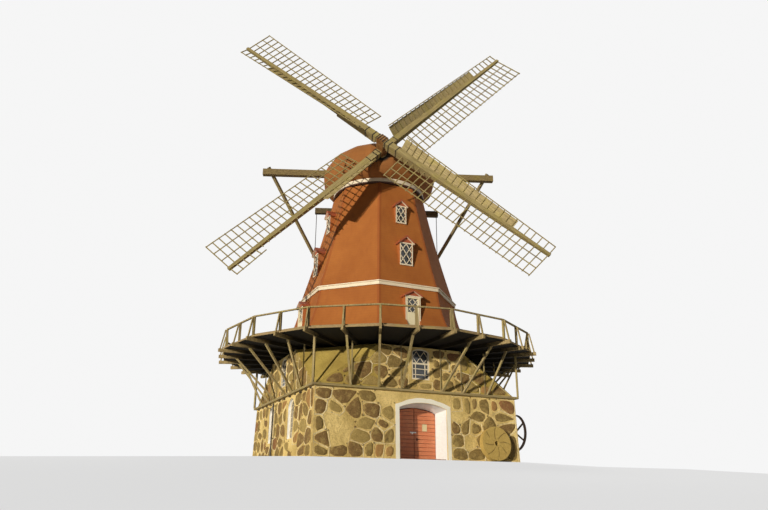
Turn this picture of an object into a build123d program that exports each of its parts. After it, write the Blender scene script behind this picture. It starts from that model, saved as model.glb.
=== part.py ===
from build123d import *
import math
import os

# Lengths are millimetres, angles are degrees and +Z is up.
# The origin is on the ground under the mill's axis, and the entrance wall faces -Y.
# An azimuth is measured at the axis from -Y towards +X.
# A wall, timber or sail arm is drawn facing -Y or standing on +Z, and then turned to its place.

# Square stone base
base_half_top = 5000
base_batter = 70
base_inner_half = 4000
base_top = 2920
masonry_top = 4910
drum_outer = 5000
drum_inner = 4000
ground_floor_thickness = 40
first_floor_top = 2900
first_floor_thickness = 100

# Entrance with its splayed, arched passage
entrance_x = 100
entrance_outer_half = 1180
entrance_inner_half = 1100
entrance_outer_spring = 2180
entrance_inner_spring = 2080
entrance_outer_crown = 2420
entrance_inner_crown = 2300
leaf_thickness = 60
leaf_clearance = 5
leaf_gap = 8
leaf_bottom_gap = 10
leaf_proud = 2
passage_margin = 60
pintle_radius = 14
pintle_height = 160
pintle_plate = 70
pintle_heights = (350, 1750)
pintle_gap = 0.6

# Windows of the stone base
base_window_offset = 1700
base_window_half = 500
base_window_sill = 900
base_window_spring = 2350
base_window_crown = 2700
drum_window_half = 450
drum_window_sill = 3440
drum_window_spring = 4690
drum_window_crown = 4850
frame_width = 70
frame_depth = 90
window_recess = 120
drum_window_recess = 20
glass_thickness = 8

# Gallery
rail_beam_width = 150
rail_beam_height = 95
joist_count = 32
joist_width = 100
joist_depth = 160
joist_end = 8250
deck_thickness = 50
deck_corner = 7990
post_circle = 7897
post_width = 95
handrail_top = 6059
handrail_height = 60
handrail_width = 90
brace_width = 60
brace_foot = 8165
strut_width = 95
strut_depth = 85
strut_top = 7200
strut_foot_inset = 30
inner_post_width = 50
sill_outer = 4300
sill_inner = 4040

# Boarded octagonal body above the gallery, given by apothem and height
skirt_wall = 90
skirt_foot = 5035
skirt_mid = 4120
skirt_mid_height = 6850
skirt_head = 3843
band_bottom = 8085
band_top = 8290
band_outer = 3905
fillet_height = 50
fillet_outer = 3950
band_depth = 200
smock_wall = 110
smock_foot = 3828
smock_mid = 3010
smock_mid_height = 11400
smock_head = 2379
smock_top = 14300
smock_floor_tops = (8900, 11450)
smock_floor_thickness = 60

# Dormer windows and gallery doors, given by half width, sill, height and front plane
top_dormer_half = 305
top_dormer_fall = 2430
top_dormer_height = 990
top_dormer_front = 2990
mid_dormer_half = 360
mid_dormer_sill = 9355
mid_dormer_height = 1210
mid_dormer_front = 3600
gallery_door_half = 405
gallery_door_height = 2450
gallery_door_front = 4300
gallery_door_glazing_sill = 1630
casing_thickness = 60
hood_overhang = 75
hood_lift = 40
hood_reach = 100
dormer_hood_pitch = 39
gallery_hood_pitch = 29
hood_thickness = 80
gable_thickness = 30
door_panel_thickness = 45
door_stile = 75

# Cap and turning gear
cap_yaw = -21.0
running_gap = 0.8
shaft_hole_gap = 12
curb_inner = 2060
curb_outer = 2370
curb_height = 100
cap_frame_outer = 2450
cap_frame_height = 185
cap_ring_outer = 2570
cap_ring_bottom = 14320
cap_shell_thickness = 60
cap_gores = 16
cap_width_radius = 3140
cap_width_rise = 804
cap_crown_rise = 2150
cap_shoulder_radius = 1600
long_spruit_half = 6700
long_spruit_rise = 1414
long_spruit_section = 360
long_spruit_depth = 300
short_spruit_half = 3760
short_spruit_y = 2500
short_spruit_section = 330
short_spruit_depth = 280
tail_foot_y = 7000
tail_foot_height = 6000
tail_end_height = 5600
tail_head_y = 2800
tail_head_rise = 164
tail_section = 260
long_brace_x = 6200
long_brace_section = 150
long_brace_head = 420
hanging_rod_radius = 20
hanging_rod_x = 3660
hanging_rod_end = 8300

# Windshaft and sails
shaft_tilt = 14.9
hub_reach = 4000
hub_rise = 1431.2
shaft_radius = 280
shaft_body_end_y = 480
journal_radius = 120
journal_end_y = 880
neck_bearing_y = 2200
neck_bearing_half = 350
tail_bearing_y = 700
tail_bearing_half = 2200
bearing_depth = 300
stock_spacing = 723
stock_length = 10575
stock_root = 360
stock_tip = 150
poll_width = 440
poll_front_wall = 25
poll_back_wall = 20
front_stock_angle = -42.25
doubling_start = 400
doubling_end = 3200
doubling_thickness = 130
bar_count = 25
bar_first = 1500
bar_last = 10500
bar_section = 45
stringer_width = 45
stringer_depth = 30
stringer_let_in = 12
bar_overhang = 1.03
wide_edge_root = 1530
wide_edge_tip = 1650
wide_stringers = (0.34, 0.67, 1.0)
narrow_edge_root = 576
narrow_edge_tip = 530
wide_slope_root = 0.183
wide_slope_tip = -0.035
narrow_slope_root = 1.04
narrow_slope_tip = 0.12
board_start = 1150
board_end = 8350
broken_board_end = 4600
broken_edge_end = 8700
stub_share = 0.42
board_thickness = 22
board_inset = 20
board_gap = 1.5
board_spans = 4

# Things beside the walls
millstone_radius = 750
millstone_thickness = 280
millstone_x = 3630
millstone_lean = 7
millstone_eye = 110
wheel_radius = 850
wheel_rim = 60
wheel_width = 110
wheel_hub_radius = 110
wheel_height = 1390
wheel_y = -4300
wheel_stand_off = 330
wheel_spokes = 6
spoke_width = 60
pipe_radius = 40
pipe_y = 900
pipe_bottom = 40
pipe_top = 2760
pipe_stand_off = 60
pipe_bracket_heights = (1100, 2640)
pipe_collar = 7
pipe_bracket_height = 35

# Fits between pieces
seam = 0.4
seam_angle = 0.004
far = 14000

base_half_ground = base_half_top + base_batter

OCTAGON = 22.5
SQUARE = 45.0


def polar(radius, azimuth, height):
    turn = math.radians(azimuth)
    return Vector(radius * math.sin(turn), -radius * math.cos(turn), height)


def block(x, y, z):
    """A box given by the low and high end of each side."""
    centre = Pos((x[0] + x[1]) / 2, (y[0] + y[1]) / 2, (z[0] + z[1]) / 2)
    return centre * Box(x[1] - x[0], y[1] - y[0], z[1] - z[0])


def turned(shape, azimuth):
    return Rot(0, 0, azimuth) * shape


def timber(start, end, width, depth, across):
    """A straight squared timber, its width measured along the direction across."""
    start = Vector(start)
    end = Vector(end)
    run = end - start
    place = Plane(origin=(start + end) * 0.5, x_dir=across, z_dir=run.normalized())
    return place * Box(width, depth, run.length)


def wedge(half_angle, bottom, top):
    """The space within half_angle of the direction -Y, between two heights."""
    reach = far / math.cos(math.radians(half_angle))
    left = polar(reach, -half_angle, bottom)
    right = polar(reach, half_angle, bottom)
    outline = Polyline((0, 0, bottom), (left.X, left.Y, bottom), (right.X, right.Y, bottom), close=True)
    return extrude(make_face(outline), amount=top - bottom, dir=(0, 0, 1))


def across_wall(edges, half_length):
    """A wall section of (distance out, height) edges, drawn out along X on both sides."""
    section = make_face(Plane.YZ * edges)
    return extrude(section, amount=half_length, both=True)


def straight_wall(points, half_angle):
    """A wall with a section of straight lines, mitred at half_angle on both sides."""
    section = Polyline([(-out, height) for out, height in points], close=True)
    heights = [height for out, height in points]
    return across_wall(section, far) & wedge(half_angle, min(heights) - 1, max(heights) + 1)


def save(node, *shapes):
    """Write the solids of one named piece."""
    solids = [solid for shape in shapes for solid in shape.solids()]
    whole = solids[0] if len(solids) == 1 else Compound(solids)
    export_step(whole, "parts/" + node + ".step")


# Curved walls of the boarded body

def circle_through(points):
    """Centre and radius of the circle through three points."""
    (ax, ay), (bx, by), (cx, cy) = points
    scale = 2 * (ax * (by - cy) + bx * (cy - ay) + cx * (ay - by))
    a2, b2, c2 = ax * ax + ay * ay, bx * bx + by * by, cx * cx + cy * cy
    x = (a2 * (by - cy) + b2 * (cy - ay) + c2 * (ay - by)) / scale
    y = (a2 * (cx - bx) + b2 * (ax - cx) + c2 * (bx - ax)) / scale
    return x, y, math.hypot(ax - x, ay - y)


smock_curve = ((smock_foot, band_top), (smock_mid, smock_mid_height), (smock_head, smock_top))
deck_top = masonry_top + joist_depth + deck_thickness
skirt_curve = ((skirt_foot, deck_top), (skirt_mid, skirt_mid_height), (skirt_head, band_bottom))


def apothem_at(curve, height):
    """How far out a curved wall stands at a height."""
    x, y, radius = circle_through(curve)
    return x - math.sqrt(radius ** 2 - (height - y) ** 2)


def curved_wall(curve, thickness, half_angle):
    """A mitred wall whose outside follows the curve; thickness None fills it to the axis."""
    foot, mid, head = [(-out, height) for out, height in curve]
    outside = ThreePointArc(foot, mid, head)
    if thickness is None:
        back = Polyline(head, (0, head[1]), (0, foot[1]), foot)
        edges = outside + back
    else:
        inner = [(out + thickness, height) for out, height in (foot, mid, head)]
        inside = ThreePointArc(*inner)
        edges = outside + Line(head, inner[2]) + inside + Line(inner[0], foot)
    return across_wall(edges, far) & wedge(half_angle, foot[1] - 1, head[1] + 1)


# Openings and the windows in them

def arched_hole(half, sill, spring, crown, y, x=0.0):
    """A prism with a flat sill and a segmental head, along Y."""
    outline = Polyline((x - half, spring), (x - half, sill), (x + half, sill), (x + half, spring))
    head = ThreePointArc((x + half, spring), (x, crown), (x - half, spring))
    face = make_face(Plane.XZ * (outline + head))
    return Pos(0, y[1], 0) * extrude(face, amount=y[1] - y[0], dir=(0, -1, 0))


def arched_frame(half, sill, spring, crown, front, x=0.0):
    """A frame set in an arched opening, its front at the distance front from the axis."""
    depth = (-front, -front + frame_depth)
    outer = arched_hole(half, sill, spring, crown, depth, x)
    inner = arched_hole(half - frame_width, sill + frame_width, spring, crown - frame_width, depth, x)
    return outer - inner


def arched_glass(half, sill, spring, crown, front, x=0.0):
    middle = -front + frame_depth / 2
    depth = (middle - glass_thickness / 2, middle + glass_thickness / 2)
    inset = frame_width
    return arched_hole(half - inset, sill + inset, spring, crown - inset, depth, x)


base_window = (base_window_half, base_window_sill, base_window_spring, base_window_crown)
drum_window = (drum_window_half, drum_window_sill, drum_window_spring, drum_window_crown)
window_sides = (-base_window_offset, base_window_offset)


def base_wall():
    section = ((base_half_ground, 0), (base_half_top, base_top), (base_inner_half, base_top), (base_inner_half, 0))
    return straight_wall(section, SQUARE)


def base_wall_with_windows():
    wall = base_wall()
    for side in window_sides:
        wall -= arched_hole(*base_window, (-base_half_ground - 1, -base_inner_half + 1), side)
    return wall


def front_wall():
    return base_wall() - entrance_passage()


def make_base_walls():
    wall = base_wall_with_windows()
    save("left_wall", turned(wall, -90))
    save("right_wall", turned(wall, 90))
    save("back_wall", turned(wall, 180))
    front = front_wall()
    lower = (0, entrance_inner_spring)
    depth = (-far, 0)
    save("front_wall_left", front & block((-far, entrance_x), depth, lower))
    save("front_wall_right", front & block((entrance_x, far), depth, lower))
    save("front_wall_over_door", front & block((-far, far), depth, (entrance_inner_spring, base_top)))


def passage_section(y):
    """The entrance passage's outline on the plane at y, splayed from the inside outwards."""
    share = (-y - base_inner_half) / (base_half_ground - base_inner_half)
    half = entrance_inner_half + share * (entrance_outer_half - entrance_inner_half)
    spring = entrance_inner_spring + share * (entrance_outer_spring - entrance_inner_spring)
    crown = entrance_inner_crown + share * (entrance_outer_crown - entrance_inner_crown)
    left, right = entrance_x - half, entrance_x + half
    below = -passage_margin
    outline = Polyline((left, y, spring), (left, y, below), (right, y, below), (right, y, spring))
    head = ThreePointArc((right, y, spring), (entrance_x, y, crown), (left, y, spring))
    return make_face(outline + head)


def entrance_passage():
    outer = passage_section(-base_half_ground - passage_margin)
    inner = passage_section(-base_inner_half + passage_margin)
    return loft([outer, inner], ruled=True)


leaf_half = entrance_inner_half - leaf_clearance
leaf_face = -base_inner_half - leaf_proud


def pintle_rods(radius, margin):
    """Upright pins on the leaves' turning axes, at the wall's inner face."""
    rods = []
    for height in pintle_heights:
        for side in (-1, 1):
            length = pintle_height + 2 * margin
            rods.append(Pos(entrance_x + side * leaf_half, leaf_face, height) * Cylinder(radius, length))
    return rods


def make_door_leaves():
    """Two leaves with an arched head, set flush with the wall's inner face."""
    depth = (leaf_face - leaf_thickness, leaf_face)
    floor = ground_floor_thickness + leaf_bottom_gap
    spring = entrance_inner_spring - leaf_clearance
    crown = entrance_inner_crown - leaf_clearance
    both = arched_hole(leaf_half, floor, spring, crown, depth, entrance_x)
    for rod in pintle_rods(pintle_radius + pintle_gap, pintle_gap):
        both -= rod
    middle = leaf_gap / 2
    save("door_leaf_left", both & block((-far, entrance_x - middle), (-far, 0), (0, far)))
    save("door_leaf_right", both & block((entrance_x + middle, far), (-far, 0), (0, far)))


def make_door_pintles():
    """Each pin stands on a plate that is let into the jamb beside the leaf."""
    pintles = []
    wall = front_wall()
    for rod in pintle_rods(pintle_radius, 0):
        place = rod.center()
        outward = math.copysign(1, place.X - entrance_x)
        across = sorted((place.X + outward * pintle_gap, place.X + outward * pintle_plate))
        height = (place.Z - pintle_height / 2, place.Z + pintle_height / 2)
        plate = block(across, (-base_inner_half, leaf_face + pintle_radius), height)
        pintles.append((rod + plate) - wall)
    save("door_pintles", *pintles)


def make_upper_masonry():
    """Octagonal walls above the square base, with sloping corners that run out at the rail."""
    section = ((drum_inner, base_top), (drum_outer, base_top), (drum_outer, masonry_top), (drum_inner, masonry_top))
    side = straight_wall(section, OCTAGON)
    side -= arched_hole(*drum_window, (-drum_outer - 1, -drum_inner + 1))
    save("upper_walls", *[turned(side, 90 * place) for place in range(4)])
    corner_reach = base_half_top * math.sqrt(2)
    slope = ((drum_inner, base_top), (corner_reach, base_top), (drum_outer, masonry_top), (drum_inner, masonry_top))
    corner = turned(straight_wall(slope, OCTAGON), SQUARE)
    square = (-base_half_top, base_half_top)
    corner &= block(square, square, (base_top, masonry_top))
    save("broach_corners", *[turned(corner, 90 * place) for place in range(4)])


def make_floors():
    inside = (-base_inner_half, base_inner_half)
    passage = entrance_inner_half
    ground = block(inside, inside, (0, ground_floor_thickness))
    threshold = block((entrance_x - passage, entrance_x + passage), (-base_half_top, 0), (0, ground_floor_thickness))
    save("ground_floor", ground + threshold)
    first = block(inside, inside, (first_floor_top - first_floor_thickness, first_floor_top))
    gallery = octagon_plate(sill_outer, deck_top - deck_thickness, deck_top)
    plates = [first, gallery]
    for top in smock_floor_tops:
        apothem = apothem_at(smock_curve, top) - smock_wall
        plates.append(octagon_plate(apothem, top - smock_floor_thickness, top))
    save("upper_floors", *plates)


def octagon_plate(apothem, bottom, top):
    radius = apothem / math.cos(math.radians(OCTAGON))
    outline = RegularPolygon(radius=radius, side_count=8, rotation=OCTAGON)
    return Pos(0, 0, bottom) * extrude(outline, amount=top - bottom)


# Gallery

rail_bottom = base_top - rail_beam_height / 2
rail_top = base_top + rail_beam_height / 2
deck_bottom = deck_top - deck_thickness


def rail_inner_face():
    """The rail lies against the battered wall at the rail's lower edge."""
    fall = (base_half_ground - base_half_top) / base_top
    return base_half_top + fall * (base_top - rail_bottom)


def wall_angle(azimuth):
    """The angle between a radial line and the nearest wall's normal."""
    return (azimuth + SQUARE) % 90 - SQUARE


def make_rail_beams():
    inner = rail_inner_face()
    outer = inner + rail_beam_width
    height = (rail_bottom, rail_top)
    front = block((-outer, outer), (-outer, -inner), height)
    side = block((inner, outer), (-inner + seam, inner - seam), height)
    save("rail_beams", front, turned(front, 180), side, turned(side, 180))


def joist_azimuths():
    return [360 / joist_count * place for place in range(joist_count)]


def edge_share(azimuth):
    """The deck's edge has a corner at every second joist and runs straight past the others."""
    corner = 2 * 360 / joist_count
    off_corner = abs((azimuth + corner / 2) % corner - corner / 2)
    return math.cos(math.radians(off_corner))


def make_joists():
    joists = []
    for azimuth in joist_azimuths():
        skew = math.radians((azimuth + OCTAGON) % (2 * OCTAGON) - OCTAGON)
        start = (sill_outer) / math.cos(skew) + joist_width / 2 * abs(math.tan(skew))
        end = joist_end * edge_share(azimuth)
        width = (-joist_width / 2, joist_width / 2)
        joist = block(width, (-end, -start), (masonry_top, deck_bottom))
        joists.append(turned(joist, azimuth))
    save("gallery_joists", *joists)


def make_struts():
    struts = []
    inner = rail_inner_face()
    for azimuth in joist_azimuths():
        skew = wall_angle(azimuth)
        if abs(skew) < 1:
            continue
        foot = (inner + rail_beam_width - strut_foot_inset) / math.cos(math.radians(skew))
        head = max(strut_top, foot)
        rise = masonry_top - rail_top
        lean = (head - foot) / rise
        overshoot = strut_depth
        start = (0, -foot + lean * overshoot, rail_top - overshoot)
        end = (0, -head - lean * overshoot, masonry_top + overshoot)
        strut = timber(start, end, strut_width, strut_depth, (1, 0, 0))
        strut &= block((-far, far), (-far, far), (rail_top, masonry_top))
        struts.append(turned(strut, azimuth))
    save("gallery_struts", *struts)


def make_inner_posts():
    """Thin posts behind the strut feet, set square to the wall they stand before."""
    posts = []
    half = inner_post_width / 2
    distance = rail_inner_face() + half
    for azimuth in joist_azimuths():
        skew = wall_angle(azimuth)
        if abs(skew) < 1 or abs(skew) > SQUARE - 1:
            continue
        across = distance * math.tan(math.radians(skew))
        place = ((across - half, across + half), (-distance - half, -distance + half))
        post = block(*place, (rail_top, masonry_top))
        posts.append(turned(post, azimuth - skew))
    save("gallery_inner_posts", *posts)


def make_deck():
    """Sixteen straight-edged panels round the octagonal body."""
    step = 2 * 360 / joist_count
    panels = []
    for place in range(joist_count // 2):
        first = step * place + seam_angle
        last = step * (place + 1) - seam_angle
        facing = 2 * OCTAGON * round((first + last) / 4 / OCTAGON)
        corners = []
        for azimuth in (first, last):
            inner = (sill_outer) / math.cos(math.radians(azimuth - facing))
            corners.append((inner, azimuth))
        corners += [(deck_corner, last), (deck_corner, first)]
        points = [polar(radius, azimuth, deck_bottom) for radius, azimuth in corners]
        outline = make_face(Polyline(points, close=True))
        panels.append(extrude(outline, amount=deck_thickness, dir=(0, 0, 1)))
    save("gallery_deck", *panels)


def make_sill():
    profile = (
        (sill_inner, masonry_top), (sill_outer, masonry_top), (sill_outer, deck_bottom), (sill_inner, deck_bottom),
    )
    piece = straight_wall(profile, OCTAGON - seam_angle)
    save("smock_sill", *[turned(piece, SQUARE * place) for place in range(8)])


def make_railing():
    posts, braces = [], []
    post_half = post_width / 2
    brace_half = brace_width / 2
    under_rail = handrail_top - handrail_height
    for azimuth in joist_azimuths():
        share = edge_share(azimuth)
        centre = post_circle * share
        width = (-post_half, post_half)
        post = block(width, (-centre - post_half, -centre + post_half), (deck_top, under_rail))
        posts.append(turned(post, azimuth))
        foot = brace_foot * share
        outside = centre + post_half
        rise = under_rail - deck_bottom
        run = foot - outside - brace_half
        start = (0, -foot - run / rise * brace_width, deck_bottom - brace_width)
        end = (0, -foot + run + run / rise * brace_width, under_rail + brace_width)
        brace = timber(start, end, brace_width, brace_width, (1, 0, 0))
        brace &= block((-far, far), (-far, -outside), (deck_bottom, under_rail))
        brace -= block((-far, far), (-deck_corner * share, 0), (deck_bottom, deck_top))
        braces.append(turned(brace, azimuth))
    save("railing_posts", *posts)
    save("railing_braces", *braces)
    step = 2 * 360 / joist_count
    middle = post_circle * math.cos(math.radians(step / 2))
    corners = (
        (middle - handrail_width / 2, handrail_top - handrail_height),
        (middle + handrail_width / 2, handrail_top - handrail_height),
        (middle + handrail_width / 2, handrail_top),
        (middle - handrail_width / 2, handrail_top),
    )
    rail = straight_wall(corners, step / 2 - seam_angle)
    save("handrails", *[turned(rail, step * (place + 0.5)) for place in range(joist_count // 2)])


# Boarded body with its dormers, doors and hoods

def casing(curve, wall, half, sill, head, front, floor_open):
    """A boarded box round an opening, standing proud of the leaning wall or let into it."""
    outward = max(front, apothem_at(curve, sill))
    inward = apothem_at(curve, head) - wall
    outer = block((-half, half), (-outward, -inward), (sill, head))
    bottom = sill - 1 if floor_open else sill + casing_thickness
    inner_half = half - casing_thickness
    inner = block((-inner_half, inner_half), (-far, 0), (bottom, head - casing_thickness))
    reach = curved_wall(curve, None, OCTAGON) + block((-half, half), (-front, 0), (sill, head))
    return (outer - inner) & reach


def hood(curve, half, head, front, pitch):
    """A small roof over an opening, with a gable board above the casing."""
    span = half + hood_overhang
    eave = head + hood_lift
    rise = span * math.tan(math.radians(pitch))
    drop = hood_thickness / math.cos(math.radians(pitch))
    outline = Polyline(
        (-span, eave), (0, eave + rise), (span, eave), (span, eave - drop),
        (0, eave + rise - drop), (-span, eave - drop), close=True,
    )
    back = apothem_at(curve, eave + rise)
    depth = front - back + 2 * hood_reach
    roof = extrude(make_face(Plane.XZ * outline), amount=depth, dir=(0, -1, 0))
    roof = Pos(0, -back + hood_reach, 0) * roof
    roof -= curved_wall(curve, None, OCTAGON)
    shoulder = eave + rise * hood_overhang / span - drop / 2
    outline = Polyline(
        (-half, head), (half, head), (half, shoulder), (0, eave + rise - drop / 2), (-half, shoulder), close=True,
    )
    gable = extrude(make_face(Plane.XZ * outline), amount=gable_thickness, dir=(0, 1, 0))
    roof += Pos(0, -front, 0) * gable
    return roof - block((-half, half), (-front, 0), (0, head))


top_dormer_sill = smock_top - top_dormer_fall
top_dormer_head = top_dormer_sill + top_dormer_height
mid_dormer_head = mid_dormer_sill + mid_dormer_height
gallery_door_head = deck_top + gallery_door_height
top_dormer = (top_dormer_half, top_dormer_sill, top_dormer_head, top_dormer_front)
mid_dormer = (mid_dormer_half, mid_dormer_sill, mid_dormer_head, mid_dormer_front)
gallery_door = (gallery_door_half, deck_top, gallery_door_head, gallery_door_front)
pane_sill = deck_top + gallery_door_glazing_sill


def opening_hole(half, sill, head):
    return block((-half, half), (-far, 0), (sill, head))


def dormer_glass(half, sill, head, front):
    inset = casing_thickness
    depth = (-front + casing_thickness, -front + casing_thickness + glass_thickness)
    return block((-half + inset, half - inset), depth, (sill + inset, head - inset))


def make_smock():
    side = curved_wall(smock_curve, smock_wall, OCTAGON)
    windowed = side
    for half, sill, head, front in (top_dormer, mid_dormer):
        windowed -= opening_hole(half, sill, head)
    save("smock_window_sides", *[turned(windowed, 90 * place) for place in range(4)])
    save("smock_plain_sides", *[turned(side, SQUARE + 90 * place) for place in range(4)])
    skirt = curved_wall(skirt_curve, skirt_wall, OCTAGON)
    door_side = skirt - opening_hole(gallery_door_half, deck_top, gallery_door_head)
    save("skirt_door_sides", *[turned(door_side, 90 * place) for place in range(4)])
    save("skirt_plain_sides", *[turned(skirt, SQUARE + 90 * place) for place in range(4)])
    inner = band_outer - band_depth
    shoulder = band_top - fillet_height
    profile = (
        (inner, band_bottom), (band_outer, band_bottom), (band_outer, shoulder),
        (fillet_outer, shoulder), (fillet_outer, band_top), (inner, band_top),
    )
    band = straight_wall(profile, OCTAGON - seam_angle)
    save("waist_band", *[turned(band, SQUARE * place) for place in range(8)])


def make_smock_openings():
    casings = [casing(smock_curve, smock_wall, *dormer, False) for dormer in (top_dormer, mid_dormer)]
    door_casing = casing(skirt_curve, skirt_wall, *gallery_door, True)
    hoods = [
        hood(smock_curve, top_dormer_half, top_dormer_head, top_dormer_front, dormer_hood_pitch),
        hood(smock_curve, mid_dormer_half, mid_dormer_head, mid_dormer_front, dormer_hood_pitch),
        hood(skirt_curve, gallery_door_half, gallery_door_head, gallery_door_front, gallery_hood_pitch),
    ]
    leaf_half = gallery_door_half - casing_thickness
    leaf_face = -gallery_door_front + casing_thickness
    leaf_depth = (leaf_face, leaf_face + door_panel_thickness)
    leaf_top = gallery_door_head - casing_thickness
    leaf = block((-leaf_half, leaf_half), leaf_depth, (deck_top, leaf_top))
    pane_half = leaf_half - door_stile
    leaf -= block((-pane_half, pane_half), (-far, 0), (pane_sill, leaf_top - door_stile))
    quarter_turns = [90 * place for place in range(4)]
    save("dormer_casings", *[turned(shape, turn) for turn in quarter_turns for shape in casings])
    save("gallery_door_casings", *[turned(door_casing, turn) for turn in quarter_turns])
    save("window_hoods", *[turned(shape, turn) for turn in quarter_turns for shape in hoods])
    save("gallery_doors", *[turned(leaf, turn) for turn in quarter_turns])


def door_pane():
    half = gallery_door_half - casing_thickness - door_stile
    middle = -gallery_door_front + casing_thickness + door_panel_thickness / 2
    depth = (middle - glass_thickness / 2, middle + glass_thickness / 2)
    top = gallery_door_head - casing_thickness - door_stile
    return block((-half, half), depth, (pane_sill, top))


def make_windows():
    front = base_half_top - window_recess
    drum_front = drum_outer - drum_window_recess
    frames, panes = [], []
    for turn in (-90, 90, 180):
        for side in window_sides:
            frames.append(turned(arched_frame(*base_window, front, side), turn))
            panes.append(turned(arched_glass(*base_window, front, side), turn))
    for turn in (0, 90, 180, 270):
        frames.append(turned(arched_frame(*drum_window, drum_front), turn))
        panes.append(turned(arched_glass(*drum_window, drum_front), turn))
        for dormer in (top_dormer, mid_dormer):
            panes.append(turned(dormer_glass(*dormer), turn))
        panes.append(turned(door_pane(), turn))
    save("base_window_frames", *frames)
    save("window_glass", *panes)


# Cap and its turning gear, drawn facing -Y and then turned by the cap's yaw

cap_frame_bottom = smock_top + curb_height + running_gap
cap_frame_top = cap_frame_bottom + cap_frame_height
cap_width_height = cap_frame_top + cap_width_rise
cap_apex = cap_width_height + cap_crown_rise
long_spruit_height = cap_frame_top + long_spruit_rise
hub_height = cap_frame_top + hub_rise
tail_head_height = cap_frame_top + tail_head_rise


def tube(inner, outer, bottom, top):
    ring = Cylinder(outer, top - bottom) - Cylinder(inner, top - bottom)
    return Pos(0, 0, (bottom + top) / 2) * ring


def make_curb():
    ring = tube(curb_inner, curb_outer, smock_top, smock_top + curb_height)
    quarters = [turned(ring & wedge(SQUARE - seam_angle, 0, far * 2), 90 * place) for place in range(4)]
    save("curb", *quarters)


def shell_body(inset):
    """The rounded cap as one solid of even gores, its surface set in by inset."""
    side = cap_width_radius - inset
    foot = cap_ring_outer - 2 * inset
    drop = cap_width_height - cap_frame_top
    spread = side - foot
    bulge = (spread ** 2 + drop ** 2) / (2 * spread)
    under = math.degrees(math.asin(drop / bulge))
    shoulder = cap_shoulder_radius - inset
    reach = side - shoulder
    rise = cap_apex - inset - cap_width_height
    crown = (reach ** 2 + rise ** 2 - shoulder ** 2) / (2 * (rise - shoulder))
    turn = math.degrees(math.asin((crown - rise) / (crown - shoulder)))
    meridian = CenterArc((side - bulge, cap_width_height), bulge, -under, under)
    meridian += CenterArc((reach, cap_width_height), shoulder, 0, turn)
    meridian += CenterArc((0, cap_apex - inset - crown), crown, turn, 90 - turn)
    meridian += Polyline((0, cap_apex - inset), (0, cap_frame_top), (foot, cap_frame_top))
    half_angle = 180 / cap_gores
    gore = extrude(make_face(Plane.YZ * mirror(meridian, Plane.YZ)), amount=side, both=True)
    gore &= wedge(half_angle, cap_frame_top - side, cap_apex + side)
    gores = [turned(gore, 2 * half_angle * place) for place in range(cap_gores)]
    return gores[0].fuse(*gores[1:])


def shaft_place():
    """The hub's frame: -Y points along the windshaft, out of the cap."""
    return Pos(0, -hub_reach, hub_height) * Rot(-shaft_tilt, 0, 0)


def along_shaft(y):
    """The distance from the hub back along the shaft to the plane at y."""
    return (hub_reach + y) / math.cos(math.radians(shaft_tilt))


def shaft_cylinder(radius, start, end):
    """A cylinder on the windshaft's axis between two distances behind the hub."""
    rod = Cylinder(radius, end - start)
    return shaft_place() * Pos(0, (start + end) / 2, 0) * Rot(90, 0, 0) * rod


def long_spruit():
    half = long_spruit_section / 2
    depth = long_spruit_depth / 2
    height = (long_spruit_height - half, long_spruit_height + half)
    return block((-long_spruit_half, long_spruit_half), (-depth, depth), height)


def short_spruit():
    depth = short_spruit_depth / 2
    height = (cap_frame_top, cap_frame_top + short_spruit_section)
    return block((-short_spruit_half, short_spruit_half), (short_spruit_y - depth, short_spruit_y + depth), height)


def tail_pole():
    """The pole from the short cross beam down to the gallery, where the cap is turned from."""
    lean = (tail_foot_y - tail_head_y) / (tail_head_height - tail_foot_height)
    low = tail_end_height - tail_section
    high = tail_head_height + tail_section
    start = (0, tail_foot_y + lean * (tail_foot_height - low), low)
    end = (0, tail_head_y - lean * (high - tail_head_height), high)
    pole = timber(start, end, tail_section, tail_section, (1, 0, 0))
    behind = short_spruit_y + short_spruit_depth / 2
    top = cap_frame_top + short_spruit_section
    return pole & block((-far, far), (behind, far), (tail_end_height, top))


def long_brace(side):
    """A slanting brace from one end of the long cross beam to the foot of the tail pole."""
    top = Vector(side * long_brace_x, long_spruit_depth / 2, long_spruit_height)
    foot = Vector(0, tail_foot_y, tail_foot_height)
    run = (foot - top).normalized()
    head = top - run * long_brace_head
    brace = timber(head, foot, long_brace_section, long_brace_section, run.cross(Vector(0, 0, 1)).normalized())
    return brace - long_spruit() - tail_pole()


def hanging_rod(side):
    top = cap_frame_top
    length = top - hanging_rod_end
    return Pos(side * hanging_rod_x, short_spruit_y, top - length / 2) * Cylinder(hanging_rod_radius, length)


def make_cap():
    shell = shell_body(0) - shell_body(cap_shell_thickness)
    shell -= shaft_cylinder(shaft_radius + shaft_hole_gap, 0, along_shaft(0))
    shell -= long_spruit()
    shell -= short_spruit()
    shell -= tail_pole()
    save("cap_shell", turned(shell, cap_yaw))
    save("cap_ring", turned(tube(cap_frame_outer, cap_ring_outer, cap_ring_bottom, cap_frame_top), cap_yaw))
    save("cap_frame", turned(tube(curb_inner, cap_frame_outer, cap_frame_bottom, cap_frame_top), cap_yaw))
    save("long_spruit", turned(long_spruit(), cap_yaw))
    save("short_spruit", turned(short_spruit(), cap_yaw))
    save("tail_pole", turned(tail_pole(), cap_yaw))
    save("long_braces", *[turned(long_brace(side), cap_yaw) for side in (-1, 1)])
    save("hanging_rods", *[turned(hanging_rod(side), cap_yaw) for side in (-1, 1)])


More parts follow.
